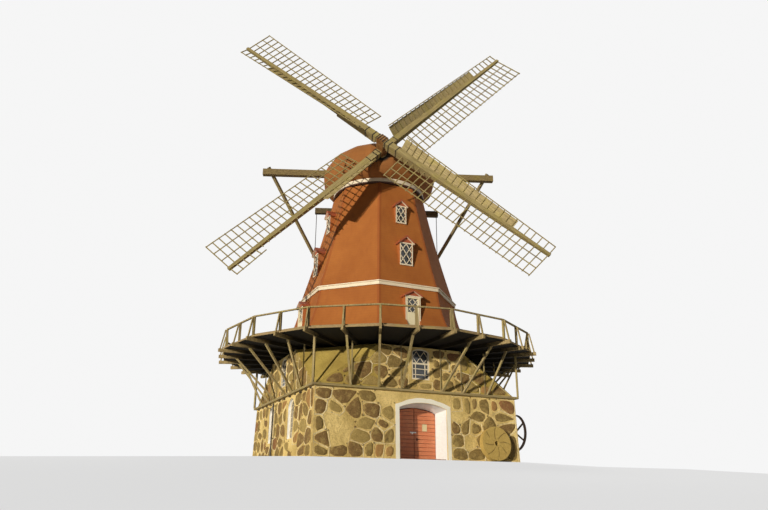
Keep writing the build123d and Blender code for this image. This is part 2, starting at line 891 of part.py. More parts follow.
def make_bearings():
    """Two blocks on the cap's frame that cradle the shaft's neck and its tail journal."""
    tilt = math.tan(math.radians(shaft_tilt))
    neck_axis = hub_height - (hub_reach - neck_bearing_y) * tilt
    tail_axis = hub_height - (hub_reach + tail_bearing_y) * tilt
    depth = bearing_depth / 2
    bottom = cap_frame_top
    neck_depth = (-neck_bearing_y - depth, -neck_bearing_y + depth)
    neck = block((-neck_bearing_half, neck_bearing_half), neck_depth, (bottom, neck_axis))
    neck -= shaft_cylinder(shaft_radius + running_gap, 0, along_shaft(shaft_body_end_y))
    tail_depth = (tail_bearing_y - depth, tail_bearing_y + depth)
    tail = block((-tail_bearing_half, tail_bearing_half), tail_depth, (bottom, tail_axis))
    tail -= shaft_cylinder(journal_radius + running_gap, 0, along_shaft(journal_end_y * 2))
    save("shaft_bearings", turned(neck, cap_yaw), turned(tail, cap_yaw))


# Sails, drawn on an arm that stands on +Z and leads towards -X, with its front to -Y

def stock_half(distance):
    """Half the stock's thickness at a distance from the hub."""
    return (stock_root + (stock_tip - stock_root) * distance / stock_length) / 2


def stock_arm():
    taper = math.degrees(math.atan((stock_root - stock_tip) / 2 / stock_length))
    return extrude(Rectangle(stock_root, stock_root), amount=stock_length, taper=taper)


def stock():
    arm = stock_arm()
    return arm + Rot(0, 180, 0) * arm


def along_sail(root, tip, distance):
    """A size that changes evenly from the first bar to the last."""
    share = (distance - bar_first) / (bar_last - bar_first)
    return root + (tip - root) * share


def edge_point(side, share, distance):
    """A point of the sail, share 1 being the edge; each edge is a straight line in space."""
    root_lead, root_slope, tip_lead, tip_slope = side
    x = along_sail(-root_lead, -tip_lead, distance) * share
    y = along_sail(-root_lead * root_slope, -tip_lead * tip_slope, distance) * share
    return Vector(x, y, distance)


narrow_side = (narrow_edge_root, narrow_slope_root, narrow_edge_tip, narrow_slope_tip)
wide_side = (-wide_edge_root, wide_slope_root, -wide_edge_tip, wide_slope_tip)


def stringer(start, end):
    """A lath along the sail, let into the front of the bars."""
    front = Vector(0, -(bar_section / 2 + stringer_depth / 2 - stringer_let_in), 0)
    return timber(start + front, end + front, stringer_width, stringer_depth, (1, 0, 0))


def bar_distances():
    pitch = (bar_last - bar_first) / (bar_count - 1)
    return [bar_first + pitch * place for place in range(bar_count)]


def sail_lattice(narrow_runs):
    """Bars through the stock with stringers along them; the twist makes the tip flatter.

    The narrow side's edge stringer runs only over narrow_runs, and bars off it are broken short.
    """
    half = bar_section / 2
    first, last = bar_first - half, bar_last + half
    pieces = [stringer(edge_point(wide_side, share, first), edge_point(wide_side, share, last))
              for share in wide_stringers]
    for start, end in narrow_runs:
        pieces.append(stringer(edge_point(narrow_side, 1, start), edge_point(narrow_side, 1, end)))
    for distance in bar_distances():
        whole = any(start <= distance <= end for start, end in narrow_runs)
        narrow_end = edge_point(narrow_side, bar_overhang if whole else stub_share, distance)
        for end in (edge_point(wide_side, bar_overhang, distance), narrow_end):
            pieces.append(timber((0, 0, distance), end, bar_section, bar_section, (0, 0, 1)))
    lattice = pieces[0].fuse(*pieces[1:])
    return lattice - stock_arm()


def wind_board(end):
    """The twisted boarding along the leading side, laid behind the bars."""
    sections = []
    for place in range(board_spans + 1):
        distance = board_start + (end - board_start) * place / board_spans
        edge = edge_point(narrow_side, 1, distance)
        slope = edge.Y / edge.X
        steep = math.sqrt(1 + slope ** 2)
        lift = (bar_section / 2 + board_gap) * steep
        thick = board_thickness * steep
        near = -stock_half(distance) - board_inset
        wide = edge.X + stringer_width / 2 + board_gap
        corners = [(near, lift), (wide, lift), (wide, lift + thick), (near, lift + thick)]
        points = [(x, x * slope + behind, distance) for x, behind in corners]
        sections.append(make_face(Polyline(points, close=True)))
    return loft(sections, ruled=True)


def arm_place(angle, rear):
    """Turn an arm from upright to its angle, on the front or the rear stock."""
    back = stock_spacing if rear else 0
    return shaft_place() * Pos(0, back, 0) * Rot(0, 90 - angle, 0)


arms = {
    "lower_right": (front_stock_angle, False),
    "upper_right": (front_stock_angle + 90, True),
    "upper_left": (front_stock_angle + 180, False),
    "lower_left": (front_stock_angle + 270, True),
}


def make_sails():
    tip = bar_last + bar_section / 2
    whole = sail_lattice([(board_start, tip)])
    broken = sail_lattice([(board_start, broken_board_end), (broken_edge_end, tip)])
    whole_board = wind_board(board_end)
    broken_board = wind_board(broken_board_end)
    boards = []
    for name, (angle, rear) in arms.items():
        lattice = broken if name == "lower_left" else whole
        board = broken_board if name == "lower_left" else whole_board
        save("sail_lattice_" + name, turned(arm_place(angle, rear) * lattice, cap_yaw))
        boards.append(turned(arm_place(angle, rear) * board, cap_yaw))
    save("wind_boards", *boards)
    front, rear = arms["lower_right"], arms["upper_right"]
    save("front_stock", turned(arm_place(*front) * stock(), cap_yaw))
    save("rear_stock", turned(arm_place(*rear) * stock(), cap_yaw))
    halves = [doubling(), Rot(0, 180, 0) * doubling()]
    save("stock_doublings", *[turned(arm_place(*front) * half, cap_yaw) for half in halves])


def doubling():
    """A strengthening timber laid along the back of the front stock, out from the hub."""
    ends = []
    for distance in (doubling_start, doubling_end):
        half = stock_half(distance)
        near = half
        corners = [(-half, near), (half, near), (half, near + doubling_thickness), (-half, near + doubling_thickness)]
        ends.append(make_face(Polyline([(x, y, distance) for x, y in corners], close=True)))
    return loft(ends, ruled=True)


def make_windshaft():
    back = stock_spacing + stock_root / 2 + poll_back_wall
    front = stock_root / 2 + poll_front_wall
    poll = Pos(0, (back - front) / 2, 0) * Box(poll_width, back + front, poll_width)
    poll = Rot(0, 90 - front_stock_angle, 0) * poll
    poll -= Rot(0, 90 - front_stock_angle, 0) * stock()
    poll -= Pos(0, stock_spacing, 0) * Rot(0, -front_stock_angle, 0) * stock()
    save("poll_end", turned(shaft_place() * poll, cap_yaw))
    body_end = along_shaft(shaft_body_end_y)
    shaft = shaft_cylinder(shaft_radius, back, body_end)
    shaft += shaft_cylinder(journal_radius, body_end, along_shaft(journal_end_y))
    save("windshaft", turned(shaft, cap_yaw))


# Things beside the walls

def make_millstone():
    """A worn millstone leaning on the front wall."""
    stone = Pos(0, 0, millstone_radius) * Rot(90, 0, 0) * Cylinder(millstone_radius, millstone_thickness)
    stone -= Pos(0, 0, millstone_radius) * Rot(90, 0, 0) * Cylinder(millstone_eye, millstone_thickness)
    stone = Rot(-millstone_lean, 0, 0) * stone
    low = stone.bounding_box()
    lean = math.radians(millstone_lean)
    top_height = 2 * millstone_radius * math.cos(lean)
    wall_y = -base_half_ground + (base_half_ground - base_half_top) * top_height / base_top
    stone = Pos(millstone_x, wall_y - low.max.Y, -low.min.Z) * stone
    save("millstone", stone)


def make_wall_wheel():
    """An iron belt wheel on a stub shaft beside the right wall."""
    rim = Cylinder(wheel_radius, wheel_width) - Cylinder(wheel_radius - wheel_rim, wheel_width)
    wheel = rim + Cylinder(wheel_hub_radius, wheel_width)
    reach = wheel_radius - wheel_rim / 2
    for place in range(wheel_spokes):
        spoke = Pos(reach / 2, 0, 0) * Box(reach, spoke_width, spoke_width)
        wheel += Rot(0, 0, 360 / wheel_spokes * place) * spoke
    wall_x = base_half_ground - (base_half_ground - base_half_top) * wheel_height / base_top
    shaft_length = wheel_stand_off + wheel_width / 2
    wheel += Pos(0, 0, -shaft_length / 2) * Cylinder(wheel_hub_radius / 2, shaft_length)
    wheel = Rot(0, 90, 0) * wheel
    wheel = Pos(wall_x + shaft_length, wheel_y, wheel_height) * wheel
    save("wall_wheel", wheel - turned(base_wall(), 90))


def make_downpipe():
    x = -base_half_ground - pipe_stand_off - pipe_radius
    shoe = pipe_radius * 4
    bend = (x, pipe_y, pipe_bottom + shoe)
    path = Polyline((x, pipe_y, pipe_top), bend, (x - shoe, pipe_y, pipe_bottom + pipe_radius))
    path = fillet(path.vertices()[1], shoe * 0.5)
    section = Plane(origin=(x, pipe_y, pipe_top), z_dir=(0, 0, -1)) * Circle(pipe_radius)
    pipe = sweep(section, path=path)
    for height in pipe_bracket_heights:
        collar = Pos(x, pipe_y, height) * Cylinder(pipe_radius + pipe_collar, pipe_bracket_height)
        half = pipe_bracket_height / 2
        arm = block((x, -base_half_top), (pipe_y - pipe_collar, pipe_y + pipe_collar), (height - half, height + half))
        pipe += collar + (arm - turned(base_wall(), -90))
    save("downpipe", pipe)


def main():
    os.makedirs("parts", exist_ok=True)
    make_base_walls()
    make_door_leaves()
    make_door_pintles()
    make_upper_masonry()
    make_floors()
    make_rail_beams()
    make_joists()
    make_struts()
    make_inner_posts()
    make_deck()
    make_sill()
    make_railing()
    make_smock()
    make_smock_openings()
    make_windows()
    make_curb()
    make_cap()
    make_bearings()
    make_windshaft()
    make_sails()
    make_millstone()
    make_wall_wheel()
    make_downpipe()


main()
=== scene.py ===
import math
import random

import bpy
from mathutils import Matrix, Vector


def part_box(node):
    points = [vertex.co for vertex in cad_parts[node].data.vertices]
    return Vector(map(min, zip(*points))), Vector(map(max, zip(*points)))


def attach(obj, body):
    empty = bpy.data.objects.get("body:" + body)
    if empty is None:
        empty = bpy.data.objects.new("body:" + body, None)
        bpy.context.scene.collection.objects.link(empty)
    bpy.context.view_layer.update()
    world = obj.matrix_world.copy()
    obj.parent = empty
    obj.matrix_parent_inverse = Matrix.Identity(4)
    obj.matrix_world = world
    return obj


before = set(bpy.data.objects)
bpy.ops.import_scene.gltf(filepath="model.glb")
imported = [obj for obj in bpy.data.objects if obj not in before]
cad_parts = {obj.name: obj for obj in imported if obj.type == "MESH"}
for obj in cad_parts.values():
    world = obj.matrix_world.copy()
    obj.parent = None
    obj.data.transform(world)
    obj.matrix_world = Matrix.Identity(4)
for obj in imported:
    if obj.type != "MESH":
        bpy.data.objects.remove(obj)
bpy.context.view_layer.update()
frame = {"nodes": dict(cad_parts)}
nodes = frame["nodes"]
rng = random.Random(7)

# Metres, +Z up, the entrance wall faces -Y. An azimuth is measured from -Y towards +X.
BASE_FOOT = 5.07
BASE_TOP = 5.0
BASE_HEIGHT = 2.92
BASE_EDGE = 4.985
RAIL_BOTTOM = 2.85
DRUM_OUT = 5.0
HALF_SIDE = 22.5
DRUM_HALF = DRUM_OUT * math.tan(math.radians(HALF_SIDE))
MASONRY_TOP = 4.91
DECK_TOP = 5.12
DECK_CORNER = 7.990
POST_CIRCLE = 7.897
TOP_DORMER_FRONT = 2.99
MID_DORMER_FRONT = 3.60
GALLERY_DOOR_FRONT = 4.30
DOOR_X = 0.10
DOOR_HALF = 1.18
DOOR_SPRING = 2.18
DOOR_CROWN = 2.42
MILLSTONE_LEAN = 7.0
CAP_YAW = -21.0
SHAFT_TILT = 14.9
HUB_REACH = 4.0
HUB_HEIGHT = 16.017
STOCK_SPACING = 0.723
STOCK_LENGTH = 10.575
STOCK_ROOT_HALF = 0.18
STOCK_TIP_HALF = 0.075
SAIL_TURNS = {"lower_right": -42.25, "upper_right": 47.75, "upper_left": 137.75, "lower_left": 227.75}
MAIN_SIDES = (0, 90, 180, 270)


# Building meshes

CHAMFER = 0.12


def band_faces(rings, count, closed=True):
    """Four-cornered faces between rings of count points each."""
    faces = []
    for ring in range(rings - 1):
        for k in range(count if closed else count - 1):
            a, b = ring * count + k, ring * count + (k + 1) % count
            faces.append((a, b, b + count, a + count))
    return faces


def placed(name, data):
    """A new object in the scene."""
    made = bpy.data.objects.new(name, data)
    bpy.context.scene.collection.objects.link(made)
    return made


class Shape:
    """Collects the points and faces of one piece, in world metres."""

    def __init__(self):
        self.points = []
        self.faces = []
        self.paints = []

    def add(self, points, faces, paint=0):
        first = len(self.points)
        self.points += [Vector(point) for point in points]
        self.faces += [tuple(first + corner for corner in face) for face in faces]
        self.paints += [paint] * len(faces)

    def carry(self, outline, start, end, side, up, taper=1.0):
        """Carries an outline of places along side and up from start to end, closed at both ends."""
        points = []
        for place, scale in ((start, 1.0), (end, taper)):
            points += [place + side * (x * scale) + up * (y * scale) for x, y in outline]
        count = len(outline)
        ends = [tuple(reversed(range(count))), tuple(range(count, 2 * count))]
        self.add(points, band_faces(2, count) + ends)

    def bar(self, start, end, width, depth, across, taper=1.0):
        """A squared timber with small chamfers, its width along the direction across."""
        run = (end - start).normalized()
        side = Vector(across)
        side = (side - run * side.dot(run)).normalized()
        cut = min(width, depth) * CHAMFER
        outline = []
        for sx, sy in ((1, 1), (-1, 1), (-1, -1), (1, -1)):
            a = (sx * width / 2, sy * (depth / 2 - cut))
            b = (sx * (width / 2 - cut), sy * depth / 2)
            outline += [a, b] if sx * sy > 0 else [b, a]
        self.carry(outline, start, end, side, run.cross(side), taper)

    def rod(self, start, end, radius, sides=8):
        run = (end - start).normalized()
        side = run.orthogonal().normalized()
        turns = [2 * math.pi * k / sides for k in range(sides)]
        outline = [(radius * math.cos(turn), radius * math.sin(turn)) for turn in turns]
        self.carry(outline, start, end, side, run.cross(side))

    def piece(self, name, body, slot, materials, smooth=False):
        mesh = bpy.data.meshes.new(name)
        mesh.from_pydata(self.points, [], self.faces)
        for material in materials:
            mesh.materials.append(material)
        mesh.polygons.foreach_set("material_index", self.paints)
        mesh.polygons.foreach_set("use_smooth", [smooth] * len(self.faces))
        mesh.update()
        made = placed(name, mesh)
        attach(made, body)


def wall_point(azimuth, across, out, height):
    turn = math.radians(azimuth)
    x = across * math.cos(turn) + out * math.sin(turn)
    y = across * math.sin(turn) - out * math.cos(turn)
    return Vector((x, y, height))


def base_out(height):
    """How far the battered wall of the base stands out at a height."""
    return BASE_FOOT - (BASE_FOOT - BASE_TOP) * height / BASE_HEIGHT


def rotation(degrees, axis):
    return Matrix.Rotation(math.radians(degrees), 4, axis)


def shaft_place():
    """The frame at the hub whose -Y runs out along the windshaft."""
    hub = Matrix.Translation((0, -HUB_REACH, HUB_HEIGHT))
    return rotation(CAP_YAW, "Z") @ hub @ rotation(-SHAFT_TILT, "X")


def arm_place(name):
    """The frame of one sail's arm, which runs out along +Z with its front to -Y."""
    back = STOCK_SPACING if name in ("upper_right", "lower_left") else 0.0
    return shaft_place() @ Matrix.Translation((0, back, 0)) @ rotation(90 - SAIL_TURNS[name], "Y")


def grain_turn(place):
    """The Euler turn that brings an arm's +Z onto the coordinates' Z."""
    return [math.degrees(angle) for angle in place.to_3x3().inverted().to_euler("XYZ")]


# Materials

MATT_FROM = 0.65
MATT_GLOSS = 0.15
PLAIN_GLOSS = 0.5
REVEAL_BACK = 3.95
REVEAL_TOP = 2.8
SHAFT_SHADOW_FADE = 0.12


def opaque(value):
    return (*value, 1.0) if isinstance(value, tuple) else value


def shaded(colour, share):
    return tuple(value * share for value in colour)


class Paint:
    """Builds one procedural material. Object coordinates are the mill's own, in metres."""

    def __init__(self, name, roughness, metallic=0.0):
        self.material = bpy.data.materials.new(name)
        self.material.use_nodes = True
        self.tree = self.material.node_tree
        self.shader = self.tree.nodes["Principled BSDF"]
        self.shader.inputs["Roughness"].default_value = roughness
        self.shader.inputs["Metallic"].default_value = metallic
        gloss = MATT_GLOSS if roughness > MATT_FROM else PLAIN_GLOSS
        self.shader.inputs["Specular IOR Level"].default_value = gloss
        self.place = self.node("TexCoord").outputs["Object"]

    def node(self, kind):
        return self.tree.nodes.new("ShaderNode" + kind)

    def feed(self, value, socket):
        if isinstance(value, bpy.types.NodeSocket):
            self.tree.links.new(value, socket)
        else:
            socket.default_value = value

    def stretch(self, scale, turn=(0, 0, 0)):
        """Coordinates turned by Euler angles in degrees and then scaled."""
        turned = self.node("Mapping")
        turned.inputs["Rotation"].default_value = [math.radians(angle) for angle in turn]
        self.feed(self.place, turned.inputs["Vector"])
        scaled = self.node("Mapping")
        scaled.inputs["Scale"].default_value = scale
        self.feed(turned.outputs["Vector"], scaled.inputs["Vector"])
        return scaled.outputs["Vector"]

    def noise(self, scale, detail=4.0, rough=0.55, place=None):
        made = self.node("TexNoise")
        made.inputs["Scale"].default_value = scale
        made.inputs["Detail"].default_value = detail
        made.inputs["Roughness"].default_value = rough
        self.feed(place or self.place, made.inputs["Vector"])
        return made.outputs["Fac"]

    def maths(self, operation, a, b=0.0):
        made = self.node("Math")
        made.operation = operation
        self.feed(a, made.inputs[0])
        self.feed(b, made.inputs[1])
        return made.outputs[0]

    def plus(self, a, b):
        return self.maths("ADD", a, b)

    def minus(self, a, b):
        return self.maths("SUBTRACT", a, b)

    def times(self, a, b):
        return self.maths("MULTIPLY", a, b)

    def size(self, a):
        return self.maths("ABSOLUTE", a)

    def larger(self, a, b):
        return self.maths("MAXIMUM", a, b)

    def below(self, a, b):
        """1 where a is less than b, and 0 elsewhere."""
        return self.maths("LESS_THAN", a, b)

    def length(self, a, b):
        """The length of the line whose legs are a and b."""
        return self.maths("SQRT", self.plus(self.times(a, a), self.times(b, b)))

    def ramp(self, value, low, high):
        """0 below low, 1 above high."""
        made = self.node("MapRange")
        made.inputs["From Min"].default_value = low
        made.inputs["From Max"].default_value = high
        self.feed(value, made.inputs["Value"])
        return made.outputs["Result"]

    def mix(self, share, a, b):
        """Colour a with a share of it replaced by colour b."""
        made = self.node("Mix")
        made.data_type = "RGBA"
        self.feed(share, made.inputs["Factor"])
        first, second = [socket for socket in made.inputs if socket.type == "RGBA"]
        self.feed(opaque(a), first)
        self.feed(opaque(b), second)
        return [socket for socket in made.outputs if socket.type == "RGBA"][0]

    def axis(self, name, place=None):
        made = self.node("SeparateXYZ")
        self.feed(place or self.place, made.inputs[0])
        return made.outputs[name]

    def facing(self):
        return self.node("NewGeometry").outputs["Normal"]

    def patched(self, base, colour, share, low, high, noise):
        """The base with a share of a colour where a noise rises from low to high."""
        return self.mix(self.times(self.ramp(noise, low, high), share), base, colour)

    def finished(self, colour, height=None, distance=0.003, strength=0.6):
        """The material in a colour, with a bump where a height is given."""
        self.feed(opaque(colour), self.shader.inputs["Base Color"])
        if height is not None:
            bump = self.node("Bump")
            bump.inputs["Distance"].default_value = distance
            bump.inputs["Strength"].default_value = strength
            self.feed(height, bump.inputs["Height"])
            self.feed(bump.outputs["Normal"], self.shader.inputs["Normal"])
        return self.material


def stone_paint(name, colour, dark, lichen=0.35):
    paint = Paint(name, 0.85)
    grain = paint.noise(26.0, 6.0, 0.7)
    base = paint.mix(paint.ramp(grain, 0.33, 0.66), dark, colour)
    base = paint.patched(base, dark, 0.5, 0.52, 0.62, paint.noise(7.5, 3.0))
    base = paint.patched(base, (0.56, 0.42, 0.15), lichen, 0.52, 0.60, paint.noise(4.6, 4.0, 0.65))
    return paint.finished(base, grain, 0.012, 0.8)


def plaster_paint(name, light, dark, reveal=None):
    """Ochre lime plaster; the reveals of the openings in the base may be painted."""
    paint = Paint(name, 0.9)
    fine = paint.noise(16.0, 6.0, 0.65)
    base = paint.mix(paint.ramp(paint.noise(0.9, 4.0, 0.6), 0.36, 0.66), dark, light)
    base = paint.patched(base, shaded(dark, 0.45), 0.45, 0.50, 0.72, fine)
    if reveal:
        out = paint.larger(paint.size(paint.axis("X")), paint.size(paint.axis("Y")))
        inside = paint.minus(1.0, paint.ramp(out, BASE_EDGE, BASE_EDGE + 0.007))
        inside = paint.times(inside, paint.ramp(out, REVEAL_BACK - 0.05, REVEAL_BACK))
        inside = paint.times(inside, paint.below(paint.axis("Z"), REVEAL_TOP))
        base = paint.mix(inside, base, reveal)
    height = paint.plus(paint.times(paint.noise(6.5, 4.0, 0.7), 3.0), fine)
    return paint.finished(base, height, 0.022, 0.85)


def timber_paint(name, light=(0.44, 0.35, 0.17), dark=(0.24, 0.18, 0.085), along="Z", turn=(0, 0, 0)):
    """Weathered timber whose grain runs along one axis of the turned coordinates."""
    paint = Paint(name, 0.82)
    scale = {"X": (1.4, 22, 22), "Z": (22, 22, 1.4)}[along]
    grain = paint.noise(1.0, 5.0, 0.6, paint.stretch(scale, turn))
    base = paint.mix(paint.ramp(grain, 0.34, 0.64), dark, light)
    mossy = (light[0] * 0.9, light[1] * 0.95, light[2] * 0.5)
    base = paint.patched(base, mossy, 0.45, 0.50, 0.68, paint.noise(1.7, 4.0, 0.6))
    base = paint.patched(base, (0.15, 0.12, 0.07), 0.35, 0.55, 0.72, paint.noise(0.8, 3.0))
    return paint.finished(base, grain, 0.006, 0.8)


def edge_distance(paint):
    """How far a point on an eight-sided wall is from the wall's corner, in metres."""
    x, y = paint.axis("X"), paint.times(paint.axis("Y"), -1.0)
    azimuth = paint.times(paint.maths("ARCTAN2", x, y), 180 / math.pi)
    from_corner = paint.plus(azimuth, 360 + HALF_SIDE)
    within = paint.minus(paint.maths("MODULO", from_corner, 2 * HALF_SIDE), HALF_SIDE)
    within = paint.times(paint.size(within), math.pi / 180)
    radius = paint.length(x, y)
    out = paint.times(radius, paint.maths("COSINE", within))
    across = paint.times(radius, paint.maths("SINE", within))
    half_width = paint.times(out, math.tan(math.radians(HALF_SIDE)))
    return paint.minus(half_width, across)


def axis_distance(paint, point, direction):
    """How far a point on the surface is from a line, in metres."""
    value = paint.place
    for operation, other in (("SUBTRACT", point), ("CROSS_PRODUCT", direction), ("LENGTH", None)):
        made = paint.node("VectorMath")
        made.operation = operation
        paint.feed(value, made.inputs[0])
        if other:
            made.inputs[1].default_value = other
        value = made.outputs["Value" if operation == "LENGTH" else "Vector"]
    return value


def board_paint(name, light, dark, spacing=0.14, corners=False, shadow_round_shaft=None):
    """Painted boarding; the last argument gives a line and the radius of a disc of painted shadow round it.
    """
    paint = Paint(name, 0.72)
    fine = paint.noise(24.0, 4.0, 0.6)
    base = paint.mix(paint.ramp(paint.noise(0.55, 4.0, 0.6), 0.35, 0.65), dark, light)
    streak = paint.noise(1.0, 4.0, 0.6, paint.stretch((5.0, 5.0, 0.5)))
    base = paint.patched(base, (0.25, 0.07, 0.025), 0.25, 0.5, 0.75, streak)
    level = paint.maths("FRACT", paint.maths("DIVIDE", paint.axis("Z"), spacing))
    seam = paint.ramp(level, 0.93, 0.97)
    base = paint.mix(paint.times(seam, 0.30), base, (0.16, 0.045, 0.02))
    if corners:
        strip = paint.minus(1.0, paint.ramp(edge_distance(paint), 0.10, 0.115))
        base = paint.mix(paint.times(strip, 0.45), base, (0.27, 0.062, 0.020))
    # Painted shadow: a near-black disc round the windshaft on the cap's front, standing for the shade of the
    # sails and poll.
    if shadow_round_shaft:
        point, direction, radius = shadow_round_shaft
        distance = axis_distance(paint, point, direction)
        shaft_shadow = paint.minus(1.0, paint.ramp(distance, radius - SHAFT_SHADOW_FADE, radius))
        shaft_shadow = paint.times(shaft_shadow, paint.below(paint.axis("Y"), 0.0))
        base = paint.mix(shaft_shadow, base, (0.020, 0.014, 0.010))
    return paint.finished(base, paint.minus(paint.times(fine, 0.3), seam), 0.006, 0.7)


def flat_paint(name, colour, worn, roughness=0.55, wear=0.35, metallic=0.0):
    paint = Paint(name, roughness, metallic)
    fine = paint.noise(38.0, 5.0, 0.6)
    base = paint.patched(colour, worn, wear, 0.48, 0.74, paint.noise(2.2, 5.0, 0.65))
    base = paint.patched(base, worn, wear, 0.55, 0.75, fine)
    return paint.finished(base, fine)


def edge_paint(name, colour, edge, level):
    """Aged paint with a strip of painted shade below a level."""
    paint = Paint(name, 0.6)
    base = paint.patched(colour, shaded(colour, 0.6), 0.35, 0.48, 0.74, paint.noise(2.2, 5.0, 0.65))
    striped = paint.mix(paint.below(paint.axis("Z"), level), base, edge)
    return paint.finished(striped, paint.noise(38.0, 5.0, 0.6))


def box_paint(name, front, side, planes):
    """White on the front frames of boxes that stand on the four main sides, red on their cheeks."""
    paint = Paint(name, 0.6)
    x, y = paint.size(paint.axis("X")), paint.size(paint.axis("Y"))
    out = paint.larger(x, y)
    facing = paint.facing()
    frontal = paint.maths("GREATER_THAN", y, x)
    side_y = paint.times(frontal, paint.size(paint.axis("X", facing)))
    side_x = paint.times(paint.minus(1.0, frontal), paint.size(paint.axis("Y", facing)))
    cheek = paint.ramp(paint.plus(side_y, side_x), 0.4, 0.6)
    near = 0.0
    for plane in planes:
        near = paint.larger(near, paint.below(paint.size(paint.minus(out, plane)), 0.012))
    red_share = paint.larger(cheek, paint.minus(1.0, near))
    red_share = paint.times(red_share, paint.maths("GREATER_THAN", paint.axis("Z", facing), -0.5))
    pale = paint.patched(front, shaded(front, 0.6), 0.30, 0.50, 0.75, paint.noise(3.0, 5.0, 0.65))
    return paint.finished(paint.mix(red_share, pale, side), paint.noise(38.0, 5.0, 0.6))


def furrow_paint(name, colour, dark, furrow):
    """Worn grit with the curved furrows of a millstone's dressed face."""
    paint = Paint(name, 0.85)
    low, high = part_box("millstone")
    middle = [(a + b) / 2 for a, b in zip(low, high)]
    lean = math.radians(MILLSTONE_LEAN)
    across = paint.minus(paint.axis("X"), middle[0])
    deep = paint.times(paint.minus(paint.axis("Y"), middle[1]), math.sin(lean))
    high_up = paint.times(paint.minus(paint.axis("Z"), middle[2]), math.cos(lean))
    rise = paint.plus(deep, high_up)
    radius = paint.length(across, rise)
    turn = paint.plus(paint.maths("ARCTAN2", rise, across), paint.times(radius, 0.6))
    step = paint.minus(paint.maths("FRACT", paint.times(turn, 4 / math.pi)), 0.5)
    gap = paint.times(paint.size(step), paint.times(radius, math.pi / 4))
    line = paint.minus(1.0, paint.ramp(gap, 0.010, 0.026))
    line = paint.times(line, paint.ramp(radius, 0.16, 0.20))
    line = paint.times(line, paint.minus(1.0, paint.ramp(radius, 0.70, 0.745)))
    grain = paint.noise(26.0, 6.0, 0.7)
    base = paint.mix(paint.ramp(grain, 0.33, 0.66), dark, colour)
    base = paint.patched(base, dark, 0.4, 0.48, 0.60, paint.noise(4.6, 4.0, 0.65))
    line = paint.times(line, paint.ramp(paint.noise(3.5, 3.0), 0.40, 0.52))
    base = paint.mix(paint.times(line, 0.65), base, furrow)
    return paint.finished(base, paint.minus(paint.times(grain, 0.4), line), 0.02, 0.8)


def hood_paint(name, top, soffit):
    """Red roof boards with a painted underside."""
    paint = Paint(name, 0.6)
    under = paint.below(paint.axis("Z", paint.facing()), -0.3)
    cover = paint.patched(top, shaded(top, 0.6), 0.35, 0.45, 0.7, paint.noise(3.0, 5.0, 0.65))
    return paint.finished(paint.mix(under, cover, soffit))


def deck_paint(name, top, under, level):
    """Deck boards, with painted shade: near black on the underside, below a level."""
    paint = Paint(name, 0.85)
    grain = paint.noise(1.0, 5.0, 0.6, paint.stretch((1.4, 22, 22)))
    base = paint.mix(paint.ramp(grain, 0.34, 0.64), shaded(top, 0.55), top)
    base = paint.patched(base, (0.36, 0.33, 0.10), 0.5, 0.50, 0.68, paint.noise(1.7, 4.0, 0.6))
    # Painted shade: the faces below the level are near black.
    base = paint.mix(paint.below(paint.axis("Z"), level), base, under)
    return paint.finished(base, grain, 0.006, 0.8)


def joist_paint(name, inner, outer, near, far):
    """Timber painted near black as shade under the middle of the deck, turning to its weathered colour at its
    sunlit ends.
    """
    paint = Paint(name, 0.85)
    grain = paint.noise(9.0, 5.0, 0.65)
    # The inner colour is painted shade; it gives way to the outer weathered colour towards the deck's edge.
    share = paint.ramp(paint.length(paint.axis("X"), paint.axis("Y")), near, far)
    base = paint.mix(share, inner, outer)
    base = paint.patched(base, inner, 0.5, 0.40, 0.68, grain)
    return paint.finished(base, grain, 0.006, 0.8)


def glass_paint():
    paint = Paint("window_pane", 0.08)
    paint.shader.inputs["Specular IOR Level"].default_value = 0.6
    # Painted shade and reflection: the pane is near black for the dark room behind it, with paler patches for
    # reflections.
    reflection_patches = paint.ramp(paint.noise(1.3, 2.0), 0.35, 0.65)
    return paint.finished(paint.mix(reflection_patches, (0.012, 0.014, 0.016), (0.05, 0.055, 0.06)))


def cover(names, material):
    """Gives some nodes a material, in place of the one they have."""
    for name in names.split():
        nodes[name].data.materials.clear()
        nodes[name].data.materials.append(material)


def arm_timber(name, arm, light=(0.40, 0.32, 0.145), dark=(0.23, 0.18, 0.08)):
    """Timber whose grain runs along one sail's arm."""
    return timber_paint(name, light, dark, turn=grain_turn(arm_place(arm)))


def shaft_line():
    """A point on the windshaft's axis and its direction."""
    shaft = shaft_place()
    return tuple(shaft.translation), tuple(shaft.to_3x3() @ Vector((0, -1, 0)))


WHITE = (0.80, 0.70, 0.52)
BOX_WHITE = (0.82, 0.72, 0.54)
BOX_RED = (0.42, 0.135, 0.035)
LIMEWASH = (0.93, 0.94, 0.93)
# The next two give the colour and the top of the strip of painted shade along the bottom of the cap's ring.
RING_SHADE = (0.085, 0.040, 0.022)
RING_SHADE_TOP = 14.385
SHAFT_SHADOW_RADIUS = 0.55
DECK_UNDERSIDE = 5.0745

# Timber
cover(" ".join(nodes), timber_paint("timber_upright"))
cover("rail_beams", timber_paint("timber_level", along="X"))
